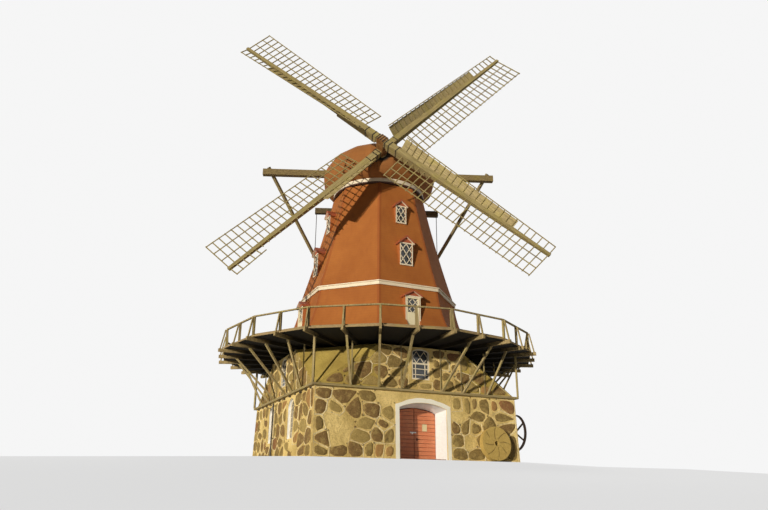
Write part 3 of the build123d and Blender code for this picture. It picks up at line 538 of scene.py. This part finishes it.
# The deck's underside is painted near black as shade.
deck_timber = deck_paint("timber_deck", (0.36, 0.27, 0.13), (0.011, 0.009, 0.006), DECK_UNDERSIDE)
cover("gallery_deck", deck_timber)
cover("gallery_joists", joist_paint("timber_joists", (0.020, 0.016, 0.009), (0.40, 0.30, 0.14), 6.9, 7.9))
dark_timber = timber_paint("timber_shaded", (0.12, 0.09, 0.055), (0.05, 0.038, 0.025))
cover("smock_sill upper_floors curb cap_frame shaft_bearings", dark_timber)
edge_timber = timber_paint("timber_deck_edge", (0.42, 0.31, 0.16), (0.26, 0.18, 0.09), "X")
cover("long_braces tail_pole", timber_paint("timber_braces", (0.33, 0.26, 0.135), (0.17, 0.13, 0.068)))
cover("short_spruit", timber_paint("timber_short_spruit", (0.14, 0.105, 0.055), (0.065, 0.05, 0.027), "X"))
cover("long_spruit", timber_paint("timber_spruit", (0.27, 0.20, 0.09), (0.14, 0.10, 0.045), "X"))
front_grain = arm_timber("timber_front_sails", "lower_right")
cover("front_stock sail_lattice_upper_left sail_lattice_lower_right", front_grain)
rear_grain = arm_timber("timber_rear_sails", "upper_right")
cover("rear_stock sail_lattice_upper_right sail_lattice_lower_left", rear_grain)
board_grain = arm_timber("timber_wind_boards", "lower_right", (0.50, 0.40, 0.20), (0.27, 0.21, 0.105))
cover("wind_boards", board_grain)

# Masonry
masonry = plaster_paint("ochre_mortar", (0.92, 0.70, 0.29), (0.63, 0.455, 0.16), LIMEWASH)
cover("front_wall_left front_wall_right front_wall_over_door left_wall right_wall back_wall", masonry)
cover("upper_walls", plaster_paint("upper_mortar", (0.88, 0.66, 0.27), (0.64, 0.46, 0.16)))
cover("broach_corners", plaster_paint("olive_plaster", (0.58, 0.43, 0.11), (0.42, 0.30, 0.075)))
cover("ground_floor", flat_paint("floor_brick", (0.30, 0.15, 0.09), (0.20, 0.11, 0.07), 0.85))
grit = furrow_paint("millstone_grit", (0.62, 0.45, 0.14), (0.42, 0.28, 0.08), (0.14, 0.09, 0.035))
cover("millstone", grit)
ribbon = plaster_paint("pale_mortar", (0.90, 0.77, 0.48), (0.74, 0.58, 0.30))
limewash = flat_paint("limewash", (0.95, 0.92, 0.80), (0.78, 0.68, 0.46), 0.85, 0.30)
stones = [
    stone_paint("stone_olive_grey", (0.35, 0.240, 0.082), (0.155, 0.104, 0.038)),
    stone_paint("stone_brown_grey", (0.32, 0.198, 0.073), (0.145, 0.088, 0.035)),
    stone_paint("stone_pale_olive", (0.50, 0.36, 0.125), (0.27, 0.19, 0.066)),
    stone_paint("stone_reddish", (0.37, 0.185, 0.075), (0.18, 0.088, 0.038), 0.25),
    stone_paint("stone_orange_brown", (0.48, 0.28, 0.10), (0.29, 0.15, 0.055), 0.25),
]

# Painted boards and glass
red = board_paint("red_boards", (0.43, 0.150, 0.035), (0.35, 0.113, 0.026), corners=True)
cover("smock_window_sides smock_plain_sides skirt_door_sides skirt_plain_sides", red)
# The cap's boards carry a disc of painted shadow round the windshaft.
shaft_shadow = (*shaft_line(), SHAFT_SHADOW_RADIUS)
cover("cap_shell", board_paint("cap_boards", (0.36, 0.145, 0.040), (0.28, 0.110, 0.032), 0.35, shadow_round_shaft=shaft_shadow))
white = flat_paint("aged_white", WHITE, (0.46, 0.36, 0.20))
cover("waist_band base_window_frames", white)
# The ring's lowest strip is painted near black as shade.
cover("cap_ring", edge_paint("ring_white", WHITE, RING_SHADE, RING_SHADE_TOP))
cream = flat_paint("cream_panel", (0.84, 0.76, 0.52), (0.56, 0.46, 0.24))
cover("gallery_doors", cream)
dormer_box = box_paint("dormer_boards", BOX_WHITE, BOX_RED, (TOP_DORMER_FRONT, MID_DORMER_FRONT))
cover("dormer_casings", dormer_box)
cover("gallery_door_casings", box_paint("door_case_boards", BOX_WHITE, BOX_RED, (GALLERY_DOOR_FRONT,)))
cover("window_hoods", hood_paint("hood_boards", (0.36, 0.085, 0.030), WHITE))
cover("window_glass", glass_paint())
# Painted shade: the leaves behind the boards are dark, so that the gaps between the boards read as shade.
seam_shade = flat_paint("door_seam_shade", (0.16, 0.045, 0.020), (0.24, 0.085, 0.040), 0.6, 0.5)
cover("door_leaf_left door_leaf_right", seam_shade)
door_brown = flat_paint("door_red_brown", (0.60, 0.195, 0.085), (0.72, 0.33, 0.165), 0.5, 0.6)
notice_cream = flat_paint("bare_notice", (0.66, 0.56, 0.32), (0.48, 0.38, 0.2), 0.4, 0.2)

# Metal
cover("wall_wheel", flat_paint("wheel_iron_skin", (0.035, 0.024, 0.017), (0.12, 0.055, 0.025), 0.7, 0.8, 0.2))
cover("poll_end", flat_paint("poll_iron_skin", (0.20, 0.085, 0.025), (0.52, 0.30, 0.11), 0.7, 0.9, 0.1))
cover("downpipe", flat_paint("weathered_zinc", (0.055, 0.045, 0.032), (0.12, 0.09, 0.05), 0.5, 0.4, 0.4))
dark_iron = flat_paint("dark_iron", (0.03, 0.026, 0.022), (0.09, 0.05, 0.03), 0.55, 0.5, 0.5)
cover("hanging_rods door_pintles", dark_iron)
bright_iron = flat_paint("bright_iron", (0.60, 0.57, 0.52), (0.30, 0.25, 0.20), 0.4, 0.5, 0.6)


# Fieldstones, laid as cells of a jittered grid on each convex stretch of wall

JOINTS = (0.024, 0.036, 0.050, 0.070, 0.095)
STONE_SHARES = (36, 32, 24, 5, 3)
LEAST_STONE = 0.016
STONE_JITTER = 0.014
LEAST_RIBBON = 0.02
RIBBON_SHARE = 0.45
RIBBON_RINGS = ((0.0, 0.016), (0.0225, 0.010), (0.0375, -0.004))
PINNING_SHARE = 0.42
BARE_BASE = 0.06
BARE_UPPER = 0.12
FOOT = 0.01
TOP = RAIL_BOTTOM - 0.03


def edges_of(outline):
    """Each corner of a closed outline with the next one."""
    return zip(outline, outline[1:] + outline[:1])


def clipped(outline, point, normal):
    """The part of a convex outline on the side of the line that normal points away from."""
    kept = []
    for here, there in edges_of(outline):
        a, b = (here - point).dot(normal), (there - point).dot(normal)
        if a <= 0:
            kept.append(here)
        if a * b < 0:
            kept.append(here + (there - here) * (a / (a - b)))
    return kept


def seeds_over(outline, course, length):
    """Staggered places for stones inside an outline, in rough courses."""
    low_x, high_x = min(p.x for p in outline), max(p.x for p in outline)
    low_y, high_y = min(p.y for p in outline), max(p.y for p in outline)
    rows = max(1, round((high_y - low_y) / course))
    seeds = []
    for row in range(rows):
        x = low_x + length * rng.uniform(0.1, 0.6)
        while x < high_x - length * 0.15:
            y = low_y + (row + 0.5 + rng.uniform(-0.24, 0.24)) * (high_y - low_y) / rows
            seed = Vector((x, y))
            if holds(outline, seed):
                seeds.append(seed)
            x += length * rng.uniform(0.55, 1.55)
    return seeds


def holds(outline, point):
    """Whether a convex, anticlockwise outline holds a point."""
    return all((there - here).cross(point - here) >= 0 for here, there in edges_of(outline))


def cells_over(outline, course, length):
    """Cells round the seeds; a heavier seed pushes its borders outwards."""
    seeds = [(seed, rng.uniform(-0.07, 0.07)) for seed in seeds_over(outline, course, length)]
    cells = []
    for seed, weight in seeds:
        cell = outline
        for other, opposing in seeds:
            apart = other - seed
            if other is not seed and apart.length < 4 * length:
                share = min(max(0.5 + (weight - opposing) / (2 * apart.length), 0.2), 0.8)
                cell = clipped(cell, seed + apart * share, apart.normalized())
        if len(cell) > 2:
            cells.append(cell)
    return cells


def inset(cell, distance):
    """The cell with each edge moved in, or nothing where it is too small."""
    kept = cell
    for here, there in edges_of(cell):
        edge = there - here
        if edge.length < 1e-6:
            continue
        normal = Vector((edge.y, -edge.x)).normalized()
        kept = clipped(kept, here - normal * distance, normal)
        if len(kept) < 3:
            return []
    return kept


def rounded(cell, passes):
    """The cell with its corners cut off, as often as passes says."""
    for _ in range(passes):
        cell = [here.lerp(there, share) for here, there in edges_of(cell) for share in (0.25, 0.75)]
    return cell


def area_of(cell):
    return sum(here.cross(there) for here, there in edges_of(cell)) / 2


def middle_of(cell):
    return sum(cell, Vector((0, 0))) / len(cell)


def lay_stone(shape, cell, place, paint):
    """A rounded, slightly domed stone; place maps (across, height, out) to the world."""
    outer = rounded(inset(cell, rng.choice(JOINTS)), rng.choice((1, 1, 2)))
    if len(outer) < 3 or area_of(outer) < LEAST_STONE:
        return
    outer = [point + Vector((rng.uniform(-1, 1), rng.uniform(-1, 1))) * STONE_JITTER for point in outer]
    middle = middle_of(outer)
    lift = rng.uniform(0.012, 0.03)
    rings = ((1.0, -0.01), (0.97, lift * 0.55), (0.91, lift * 0.95), (0.55, lift * 1.05))
    points = []
    for scale, out in rings:
        for point in outer:
            rough = rng.uniform(-0.002, 0.002) if out > 0 else 0
            points.append(place(*(middle + (point - middle) * scale), out + rough))
    points.append(place(*middle, lift * 1.08))
    count = len(outer)
    last = (len(rings) - 1) * count
    crown = [(last + k, last + (k + 1) % count, last + count) for k in range(count)]
    shape.add(points, band_faces(len(rings), count) + crown, paint)


def lay_ribbon(shape, cell, place):
    """The raised pointing along a cell's edges: highest on the edge, running out inside it."""
    inner = inset(cell, 0.02)
    if len(inner) < 3 or area_of(inner) < LEAST_RIBBON:
        return
    middle = middle_of(cell)
    points = []
    for inward, out in RIBBON_RINGS:
        points += [place(*(point + (middle - point).normalized() * inward), out) for point in cell]
    shape.add(points, band_faces(len(RIBBON_RINGS), len(cell)))


def lay_pinnings(shape, cell, place, sides=6):
    """Small stones pressed into the mortar where cells meet."""
    middle = middle_of(cell)
    for corner in cell:
        if rng.random() > PINNING_SHARE:
            continue
        centre = corner.lerp(middle, 0.03)
        radius = rng.uniform(0.026, 0.060)
        turn = rng.uniform(0, math.pi)
        outline = []
        for k in range(sides):
            angle = turn + 2 * math.pi * k / sides
            reach = radius * rng.uniform(0.75, 1.2)
            outline.append(centre + Vector((math.cos(angle) * reach * 1.25, math.sin(angle) * reach)))
        if min(point.y for point in outline) < 0.015 or any(abs(point.x) > BASE_EDGE for point in outline):
            continue
        points = [place(*point, -0.008) for point in outline]
        points += [place(*(centre + (point - centre) * 0.8), 0.012) for point in outline]
        faces = band_faces(2, sides) + [tuple(range(sides, 2 * sides))]
        shape.add(points, faces, stone_kind())


def outline_of(*corners):
    return [Vector(corner) for corner in corners]


def upright(left, right, bottom, top):
    """An upright rectangle."""
    return outline_of((left, bottom), (right, bottom), (right, top), (left, top))


def stone_kind():
    return rng.choices(range(len(stones)), STONE_SHARES)[0]


def smeared(azimuth, point):
    """Whether the plaster patch on the front wall's left end covers a point."""
    return azimuth == 0 and abs(point.x + 3.95) < 0.45 and abs(point.y - 1.15) < 0.35


def lay_wall(azimuth, out_at, stretches, covered):
    """Stones and pointing over some convex stretches; covered is the share lost under plaster."""
    stone_shape, ribbon_shape = Shape(), Shape()

    def place(across, height, out):
        return wall_point(azimuth, across, out_at(height) + out, height)

    for stretch, course, length in stretches:
        for cell in cells_over(stretch, course, length):
            if rng.random() < covered or smeared(azimuth, middle_of(cell)):
                continue
            if rng.random() < RIBBON_SHARE:
                lay_ribbon(ribbon_shape, cell, place)
            lay_pinnings(stone_shape, cell, place)
            lay_stone(stone_shape, cell, place, stone_kind())
    return stone_shape, ribbon_shape


def base_stretches():
    """Outline, course height and stone length of each stretch of the front and of a wall with windows."""
    front = [
        (upright(-BASE_EDGE, -1.30, FOOT, TOP), 0.56, 0.78),
        (upright(1.50, BASE_EDGE, FOOT, TOP), 0.52, 0.74),
    ]
    jambs = (-BASE_EDGE, -2.34, -1.06, 1.06, 2.34, BASE_EDGE)
    between, below_window = (TOP, 0.54, 0.74), (0.80, 0.40, 0.66)
    windowed = []
    for k, (left, right) in enumerate(zip(jambs, jambs[1:])):
        top, course, length = below_window if k % 2 else between
        windowed.append((upright(left, right, FOOT, top), course, length))
    return front, windowed


def upper_stretches():
    """The same for the upper masonry, which narrows between the sloping corners."""
    jamb, sill, margin = 0.60, 3.36, 0.06
    low, high = BASE_HEIGHT + 0.08, MASONRY_TOP - 0.03
    slope = (BASE_TOP - DRUM_HALF) / (MASONRY_TOP - BASE_HEIGHT)
    low_half, high_half = (BASE_TOP - slope * (level - BASE_HEIGHT) - margin for level in (low, high))
    return [
        (outline_of((-low_half, low), (-jamb, low), (-jamb, high), (-high_half, high)), 0.47, 0.68),
        (outline_of((jamb, low), (low_half, low), (high_half, high), (jamb, high)), 0.47, 0.68),
        (upright(-jamb, jamb, low, sill), 0.36, 0.55),
    ]


def lay_all_walls():
    front, windowed = base_stretches()
    upper = upper_stretches()
    sides = (("front", 0, front), ("right", 90, windowed), ("back", 180, windowed), ("left", -90, windowed))
    for side, azimuth, base in sides:
        levels = (("base", base_out, base, BARE_BASE), ("upper", lambda height: DRUM_OUT, upper, BARE_UPPER))
        for level, out_at, stretches, covered in levels:
            stone_shape, ribbon_shape = lay_wall(azimuth, out_at, stretches, covered)
            stone_shape.piece(f"{level}_stones_{side}", "mill", "fieldstone", stones, smooth=True)
            ribbon_shape.piece(f"{level}_pointing_{side}", "mill", "lime_plaster", [ribbon], smooth=True)


lay_all_walls()


# Painted margin round the entrance

def arch_radius(half, rise):
    return (half ** 2 + rise ** 2) / (2 * rise)


def arch_outline(half, spring, crown, steps=16):
    """Points over the arch from left to right, starting and ending on the ground."""
    radius = arch_radius(half, crown - spring)
    sweep = math.asin(half / radius)
    points = [(-half, 0.0)]
    for k in range(steps + 1):
        turn = -sweep + 2 * sweep * k / steps
        points.append((radius * math.sin(turn), crown - radius + radius * math.cos(turn)))
    points.append((half, 0.0))
    return points


def make_entrance_margin():
    """A thin painted band round the arch whose outer edge is brushed unevenly."""
    proud, sunk = 0.009, -0.01
    inner = arch_outline(DOOR_HALF + 0.002, DOOR_SPRING, DOOR_CROWN)
    outer = arch_outline(DOOR_HALF + 0.18, DOOR_SPRING + 0.10, DOOR_CROWN + 0.19)
    outer = [(x + rng.uniform(-0.015, 0.02), z + (rng.uniform(-0.01, 0.03) if z else 0)) for x, z in outer]
    rings = ((inner, sunk), (inner, proud), (outer, proud), (outer, sunk))
    points = []
    for ring, out in rings:
        points += [wall_point(0, x + DOOR_X, base_out(z) + out, z + 0.003) for x, z in ring]
    shape = Shape()
    shape.add(points, band_faces(len(rings), len(inner), closed=False))
    shape.piece("entrance_margin", "mill", "white_paint", [limewash])


make_entrance_margin()


# Entrance leaves: level boards on ledges, with their fittings

LEAF_FACE = 4.062
LEAF_BOTTOM = 0.05
LEAF_HALF = 1.095
LEAF_SPRING = 2.075
LEAF_CROWN = 2.295
LEAF_MARGIN = 0.012
BOARD_HEIGHT = 0.172
BOARD_SEAM = 0.012
BOARD_PROUD = 0.014


def leaf_reach(level):
    """How far a board may run out at a height under the leaves' arch."""
    radius = arch_radius(LEAF_HALF, LEAF_CROWN - LEAF_SPRING)
    reach = LEAF_HALF - LEAF_MARGIN
    while reach > LEAF_MARGIN:
        arch = LEAF_CROWN - radius + math.sqrt(max(radius ** 2 - reach ** 2, 0.0))
        if arch - 0.01 >= level:
            break
        reach -= 0.01
    return reach


def lay_leaf_board(shape, side, bottom, top):
    """One bevelled board of a leaf, cut to the arch at its outer end."""
    near, low_end, high_end = LEAF_MARGIN, leaf_reach(bottom), leaf_reach(top)
    if high_end <= near + 0.05:
        return
    wobble = rng.uniform(-0.0015, 0.0015)
    corners = ((near, bottom), (low_end, bottom), (high_end, top), (near, top))
    bevels = ((0.004, 0.005), (-0.004, 0.005), (-0.004, -0.005), (0.004, -0.005))
    points = [wall_point(0, DOOR_X + side * x, LEAF_FACE - 0.002, z) for x, z in corners]
    out = LEAF_FACE + BOARD_PROUD + wobble
    for (x, z), (inward, upward) in zip(corners, bevels):
        points.append(wall_point(0, DOOR_X + side * (x + inward), out, z + upward))
    faces = [(4, 5, 6, 7)] + band_faces(2, len(corners))
    if side < 0:
        faces = [tuple(reversed(face)) for face in faces]
    shape.add(points, faces)


def make_leaf(side):
    shape = Shape()
    bottom = LEAF_BOTTOM + 0.01
    while bottom < LEAF_CROWN - 0.035:
        lay_leaf_board(shape, side, bottom, min(bottom + BOARD_HEIGHT - BOARD_SEAM, LEAF_CROWN - 0.010))
        bottom += BOARD_HEIGHT
    name = "left" if side < 0 else "right"
    shape.piece(f"leaf_boards_{name}", f"door_{name}", "door_paint", [door_brown])


for side in (-1, 1):
    make_leaf(side)


def make_door_fittings():
    """Notice sheet, hasp and handle on the right leaf; staple and padlock on the left one."""
    level, along = (0, 0, 1), (1, 0, 0)

    def at(x, z, out=0.0):
        return wall_point(0, x, LEAF_FACE + 0.019 + out, z)

    notice, hasp, staple, handle = Shape(), Shape(), Shape(), Shape()
    notice.bar(at(0.63, 1.28), at(0.63, 1.59), 0.24, 0.004, along)
    hasp.bar(at(0.115, 1.21), at(0.20, 1.21), 0.050, 0.008, level)
    hasp.rod(at(0.118, 1.18, 0.006), at(0.118, 1.24, 0.006), 0.009)
    staple.bar(at(-0.11, 1.21), at(0.085, 1.21), 0.050, 0.008, level)
    staple.rod(at(-0.01, 1.21, 0.004), at(-0.01, 1.21, 0.045), 0.012)
    staple.rod(at(-0.035, 1.20, 0.03), at(0.015, 1.20, 0.03), 0.008)
    staple.bar(at(-0.01, 1.198, 0.03), at(-0.01, 1.135, 0.03), 0.060, 0.026, along)
    handle.rod(at(0.24, 0.92), at(0.24, 0.92, 0.045), 0.010)
    handle.rod(at(0.24, 0.915, 0.045), at(0.35, 0.925, 0.045), 0.011)
    handle.bar(at(0.24, 0.85), at(0.24, 0.98), 0.045, 0.006, along)
    notice.piece("bare_notice_sheet", "door_right", "cream_paint", [notice_cream])
    hasp.piece("door_hasp_plate", "door_right", "zinc", [bright_iron])
    staple.piece("door_staple_and_padlock", "door_left", "zinc", [bright_iron])
    handle.piece("door_handle", "door_right", "rusty_iron", [dark_iron])


make_door_fittings()


# Glazing bars

GLASS_BACK = 0.028
DIAMOND_LIGHTS = (
    # half width, bottom, top, diamond width, diamond height, distance out, bar width, bar depth
    (0.245, 11.93, 12.80, 0.27, 0.435, TOP_DORMER_FRONT - 0.018, 0.036, 0.026),
    (0.30, 9.415, 10.505, 0.36, 0.545, MID_DORMER_FRONT - 0.018, 0.040, 0.026),
    (0.27, 6.75, 7.435, 0.31, 0.37, GALLERY_DOOR_FRONT - 0.078, 0.036, 0.030),
)


def cut_line(point, run, half_width, bottom, top):
    """The ends of a line inside a rectangle about x = 0, or nothing."""
    low, high = -math.inf, math.inf
    for place, step, sides in zip(point, run, ((-half_width, half_width), (bottom, top))):
        ends = sorted((side - place) / step for side in sides)
        low, high = max(low, ends[0]), min(high, ends[1])
    if high - low < 0.02:
        return []
    return [tuple((point[0] + run[0] * t, point[1] + run[1] * t) for t in (low, high))]


def diamond_lines(half_width, bottom, top, wide, tall):
    """Slanting lines crossing in the middle of a rectangle; wide and tall size one diamond."""
    lines = []
    for k in range(-4, 5):
        for lean in (1, -1):
            lines += cut_line((k * wide, (bottom + top) / 2), (wide * lean, tall), half_width, bottom, top)
    return lines


def add_lines(shape, azimuth, lines, out, width, depth, shift=0.0):
    outward = wall_point(azimuth, 0, 1, 0)
    for line in lines:
        ends = (wall_point(azimuth, x + shift, out, z) for x, z in line)
        shape.bar(*ends, depth, width, outward)


def make_glazing_bars():
    dormers, drums, base = Shape(), Shape(), Shape()
    half = 0.38
    for azimuth in MAIN_SIDES:
        for *light, out, width, depth in DIAMOND_LIGHTS:
            add_lines(dormers, azimuth, diamond_lines(*light), out, width, depth)
        out = DRUM_OUT - 0.02 - GLASS_BACK
        add_lines(drums, azimuth, [((-half, 4.17), (half, 4.17))], out, 0.075, 0.034)
        add_lines(drums, azimuth, diamond_lines(half, 4.20, 4.72, half, 0.52), out, 0.026, 0.02)
        panes = [((x, 3.51), (x, 4.14)) for x in (-0.24, 0.24)]
        panes += [((-half, z), (half, z)) for z in (3.67, 3.93)]
        add_lines(drums, azimuth, panes, out, 0.036, 0.02)
    half, window_x = 0.43, 1.7
    for azimuth in (-90, 90, 180):
        for shift in (-window_x, window_x):
            panes = [((x, 0.97), (x, 2.50 if x else 2.62)) for x in (-half / 2, 0.0, half / 2)]
            panes += [((-half, z), (half, z)) for z in (1.20, 1.43, 1.66, 1.89, 2.12, 2.35)]
            add_lines(base, azimuth, panes, BASE_TOP - 0.12 - GLASS_BACK, 0.026, 0.022, shift)
    dormers.piece("dormer_lattice_bars", "mill", "white_paint", [white])
    drums.piece("drum_window_bars", "mill", "white_paint", [white])
    base.piece("base_window_bars", "mill", "white_paint", [white])


def make_door_panels():
    """Boards that bring the gallery doors flush with their frames, round the latticed light."""
    shape = Shape()
    out, bottom, sill, head = GALLERY_DOOR_FRONT - 0.034, DECK_TOP + 0.002, 6.75, 7.508
    stile, light, lintel, thick = 0.3075, 0.27, 7.4715, 0.050
    for azimuth in MAIN_SIDES:
        level, outward = wall_point(azimuth, 1, 0, 0), wall_point(azimuth, 0, 1, 0)
        boards = [(x, 0.073, head) for x in (-stile, stile)]
        boards += [(x, 0.1335, sill) for x in (-0.2025, -0.0675, 0.0675, 0.2025)]
        for x, width, top in boards:
            ends = (wall_point(azimuth, x, out, height) for height in (bottom, top))
            shape.bar(*ends, width, thick, level)
        ends = (wall_point(azimuth, x, out, lintel) for x in (-light, light))
        shape.bar(*ends, thick, 0.073, outward)
    shape.piece("gallery_door_boards", "mill", "cream_paint", [cream])


def make_deck_edge():
    """A lath over the deck's edge and a toe board behind the railing's posts, on each of 16 sides."""
    lath, toe = Shape(), Shape()
    half_turn = math.radians(HALF_SIDE / 2)

    def lay(shape, azimuth, corner, inward, height, width, depth):
        out = corner * math.cos(half_turn) - inward
        reach = out * math.tan(half_turn) - 0.004
        ends = (wall_point(azimuth, across, out, height) for across in (-reach, reach))
        shape.bar(*ends, width, depth, wall_point(azimuth, 0, 1, 0))

    for k in range(16):
        azimuth = HALF_SIDE * (k + 0.5)
        lay(lath, azimuth, DECK_CORNER, -0.013, DECK_TOP - 0.008, 0.022, 0.072)
        height = DECK_TOP + 0.064 + rng.uniform(0.0, 0.008)
        lay(toe, azimuth, POST_CIRCLE, 0.0675, height, 0.030, 0.110)
    lath.piece("deck_edge_laths", "mill", "weathered_timber", [edge_timber])
    toe.piece("deck_toe_boards", "mill", "weathered_timber", [edge_timber])


make_door_panels()
make_deck_edge()


# Iron on the sails' stocks

def make_straps():
    """Flat iron bands with their bolts round each stock near the hub."""
    shape = Shape()
    thick, doubling_from, doubling, bolt, bolt_length = 0.012, 0.4, 0.13, 0.018, 0.035
    for name in SAIL_TURNS:
        place = arm_place(name)
        along_arm = place.to_3x3() @ Vector((0, 0, 1))
        for distance, width in ((0.30, 0.05), (0.56, 0.06), (1.06, 0.045)):
            half = STOCK_ROOT_HALF - (STOCK_ROOT_HALF - STOCK_TIP_HALF) * distance / STOCK_LENGTH
            side, front = half + thick, -half - thick
            back = half + thick + (doubling if distance > doubling_from else 0.0)
            ends = ((-side, front), (side, front), (side, back), (-side, back))
            for here, there in edges_of([Vector((x, y, distance)) for x, y in ends]):
                along = (there - here).normalized()
                inward = Vector((-along.y, along.x, 0)) * (thick / 2)
                shape.bar(place @ (here + inward), place @ (there + inward), width, thick, along_arm)
            for x in (-half * 0.5, half * 0.5):
                foot = place @ Vector((x, front + 0.002, distance))
                tip = place @ Vector((x, front - bolt_length, distance))
                shape.rod(foot, tip, bolt, 6)
    shape.piece("stock_straps", "sails", "rusty_iron", [dark_iron])


def make_poll_irons():
    """Plates and bolts on the poll's front and wedges where the front stock passes through."""
    plates, wedges = Shape(), Shape()
    place = arm_place("lower_right")
    along = place.to_3x3() @ Vector((0, 0, 1))
    front, half, thick = -0.205, 0.215, 0.020
    for distance in (-0.15, 0.0, 0.15):
        ends = (place @ Vector((x, front - thick / 2, distance)) for x in (-half, half))
        plates.bar(*ends, 0.060, thick, along)
        for x in (-0.17, 0.0, 0.17):
            ends = (place @ Vector((x, front - out, distance)) for out in (0.018, 0.052))
            plates.rod(*ends, 0.020, 6)
    for name in ("lower_right", "upper_left"):
        place = arm_place(name)
        outward = place.to_3x3() @ Vector((1, 0, 0))
        for x in (-0.196, 0.196):
            for y in (-0.08, 0.08):
                ends = (place @ Vector((x, y, distance)) for distance in (0.215, 0.285))
                wedges.bar(*ends, 0.036, 0.085, outward, taper=0.8)
    plates.piece("poll_plates", "sails", "rusty_iron", [dark_iron])
    wedges.piece("poll_wedges", "sails", "weathered_timber", [edge_timber])


def make_rail_blocks():
    """Short bearers under the left rail beam, and the hook above the far window."""
    blocks, hook = Shape(), Shape()

    def at(across, out, height):
        return wall_point(-90, across, out, height)

    out = base_out(2.8)
    for across in (-4.35, -3.5, -2.75, -1.95, -0.25, 0.55, 1.5, 2.3, 3.15, 3.95, 4.6):
        width, drop = rng.uniform(0.10, 0.20), rng.uniform(0.05, 0.09)
        height = RAIL_BOTTOM - drop / 2
        blocks.bar(at(across, out - 0.02, height), at(across, out + 0.075, height), width, drop, at(1, 0, 0))
    blocks.piece("rail_bearers_left", "mill", "weathered_timber", [dark_timber])
    hook_across, out = -2.0, base_out(2.62)
    plate = (at(hook_across, out - 0.01, 2.60), at(hook_across, out + 0.012, 2.60))
    hook.bar(*plate, 0.06, 0.12, (0, 1, 0))
    hook.rod(at(hook_across, out, 2.63), at(hook_across, out + 0.15, 2.66), 0.014)
    hook.rod(at(hook_across, out + 0.15, 2.655), at(hook_across, out + 0.15, 2.72), 0.014)
    hook.piece("wall_hook", "mill", "rusty_iron", [dark_iron])


make_straps()
make_poll_irons()
make_rail_blocks()
make_glazing_bars()


# Camera, light and stage

FLOOR_COLOUR = (0.66, 0.66, 0.66)
FLOOR_GLOW = (0.80, 0.80, 0.80)
GLOW_SHARE = 0.85
AMBIENT = 0.058
BACKDROP = 0.92
LENS = 30.462
CAMERA_PLACE = (-13.521, -31.221, -1.347)
CAMERA_YAW = -23.977
CAMERA_PITCH = 20.083
CAMERA_ROLL = 0.387


def seen_itself(tree):
    """1 for rays from the camera, straight, mirrored or through glass, and 0 for light on the object."""
    path = tree.nodes.new("ShaderNodeLightPath")
    share = path.outputs["Is Camera Ray"]
    for ray in ("Is Glossy Ray", "Is Transmission Ray"):
        larger = tree.nodes.new("ShaderNodeMath")
        larger.operation = "MAXIMUM"
        tree.links.new(share, larger.inputs[0])
        tree.links.new(path.outputs[ray], larger.inputs[1])
        share = larger.outputs[0]
    return share


def floor_mesh():
    """Level just under the walls' foot, and falling away gently round them."""
    size, count, level_half, gap, fall, deepest = 60.0, 24, 5.3, 0.003, 0.07, 2.5
    values = [-size + 2 * size * k / count for k in range(count + 1)]
    values = sorted(set(values + [-level_half, level_half]))
    points = []
    for y in values:
        for x in values:
            away = max(abs(x) - level_half, abs(y) - level_half, 0.0)
            points.append((x, y, -gap - min(fall * away, deepest)))
    mesh = bpy.data.meshes.new("pale_floor")
    mesh.from_pydata(points, [], band_faces(len(values), len(values), closed=False))
    return mesh


def make_stage():
    mesh = floor_mesh()
    floor = placed("pale_floor", mesh)
    paint = Paint("pale_floor", 0.9)
    mesh.materials.append(paint.finished(FLOOR_COLOUR))
    glow = paint.node("Emission")
    glow.inputs["Color"].default_value = opaque(FLOOR_GLOW)
    mixed = paint.node("MixShader")
    paint.feed(paint.times(seen_itself(paint.tree), GLOW_SHARE), mixed.inputs[0])
    paint.feed(paint.shader.outputs[0], mixed.inputs[1])
    paint.feed(glow.outputs[0], mixed.inputs[2])
    paint.feed(mixed.outputs[0], paint.tree.nodes["Material Output"].inputs["Surface"])


def make_sun(name, azimuth, elevation, energy, colour, spread):
    lamp = bpy.data.lights.new(name, "SUN")
    lamp.energy = energy
    lamp.color = colour
    lamp.angle = math.radians(spread)
    rise = math.radians(elevation)
    towards = wall_point(azimuth, 0, math.cos(rise), math.sin(rise))
    placed(name, lamp).rotation_euler = towards.to_track_quat("Z", "Y").to_euler()


def make_lights():
    """A low warm sun from the left front, and a soft one behind for the far sides."""
    world = bpy.data.worlds.new("studio")
    bpy.context.scene.world = world
    world.use_nodes = True
    tree = world.node_tree
    background = tree.nodes["Background"]
    background.inputs["Color"].default_value = (1.0, 1.0, 1.0, 1.0)
    level = tree.nodes.new("ShaderNodeMapRange")
    level.inputs["To Min"].default_value = AMBIENT
    level.inputs["To Max"].default_value = BACKDROP
    tree.links.new(seen_itself(tree), level.inputs["Value"])
    tree.links.new(level.outputs["Result"], background.inputs["Strength"])
    make_sun("key", -55, 8.0, 3.35, (1.0, 0.93, 0.80), 1.5)
    make_sun("back_fill", 152, 30.0, 2.2, (1.0, 0.98, 0.95), 12.0)


def make_camera():
    """Stands low before the left front corner and looks up."""
    lens = bpy.data.cameras.new("camera")
    lens.sensor_fit = "HORIZONTAL"
    lens.sensor_width = 36.0
    lens.lens = LENS
    lens.clip_end = 400.0
    camera = placed("camera", lens)
    turn = rotation(CAMERA_YAW, "Z") @ rotation(90 + CAMERA_PITCH, "X") @ rotation(CAMERA_ROLL, "Z")
    camera.matrix_world = Matrix.Translation(CAMERA_PLACE) @ turn
    bpy.context.scene.camera = camera


make_stage()
make_lights()
make_camera()
bpy.context.scene.view_settings.view_transform = "Standard"
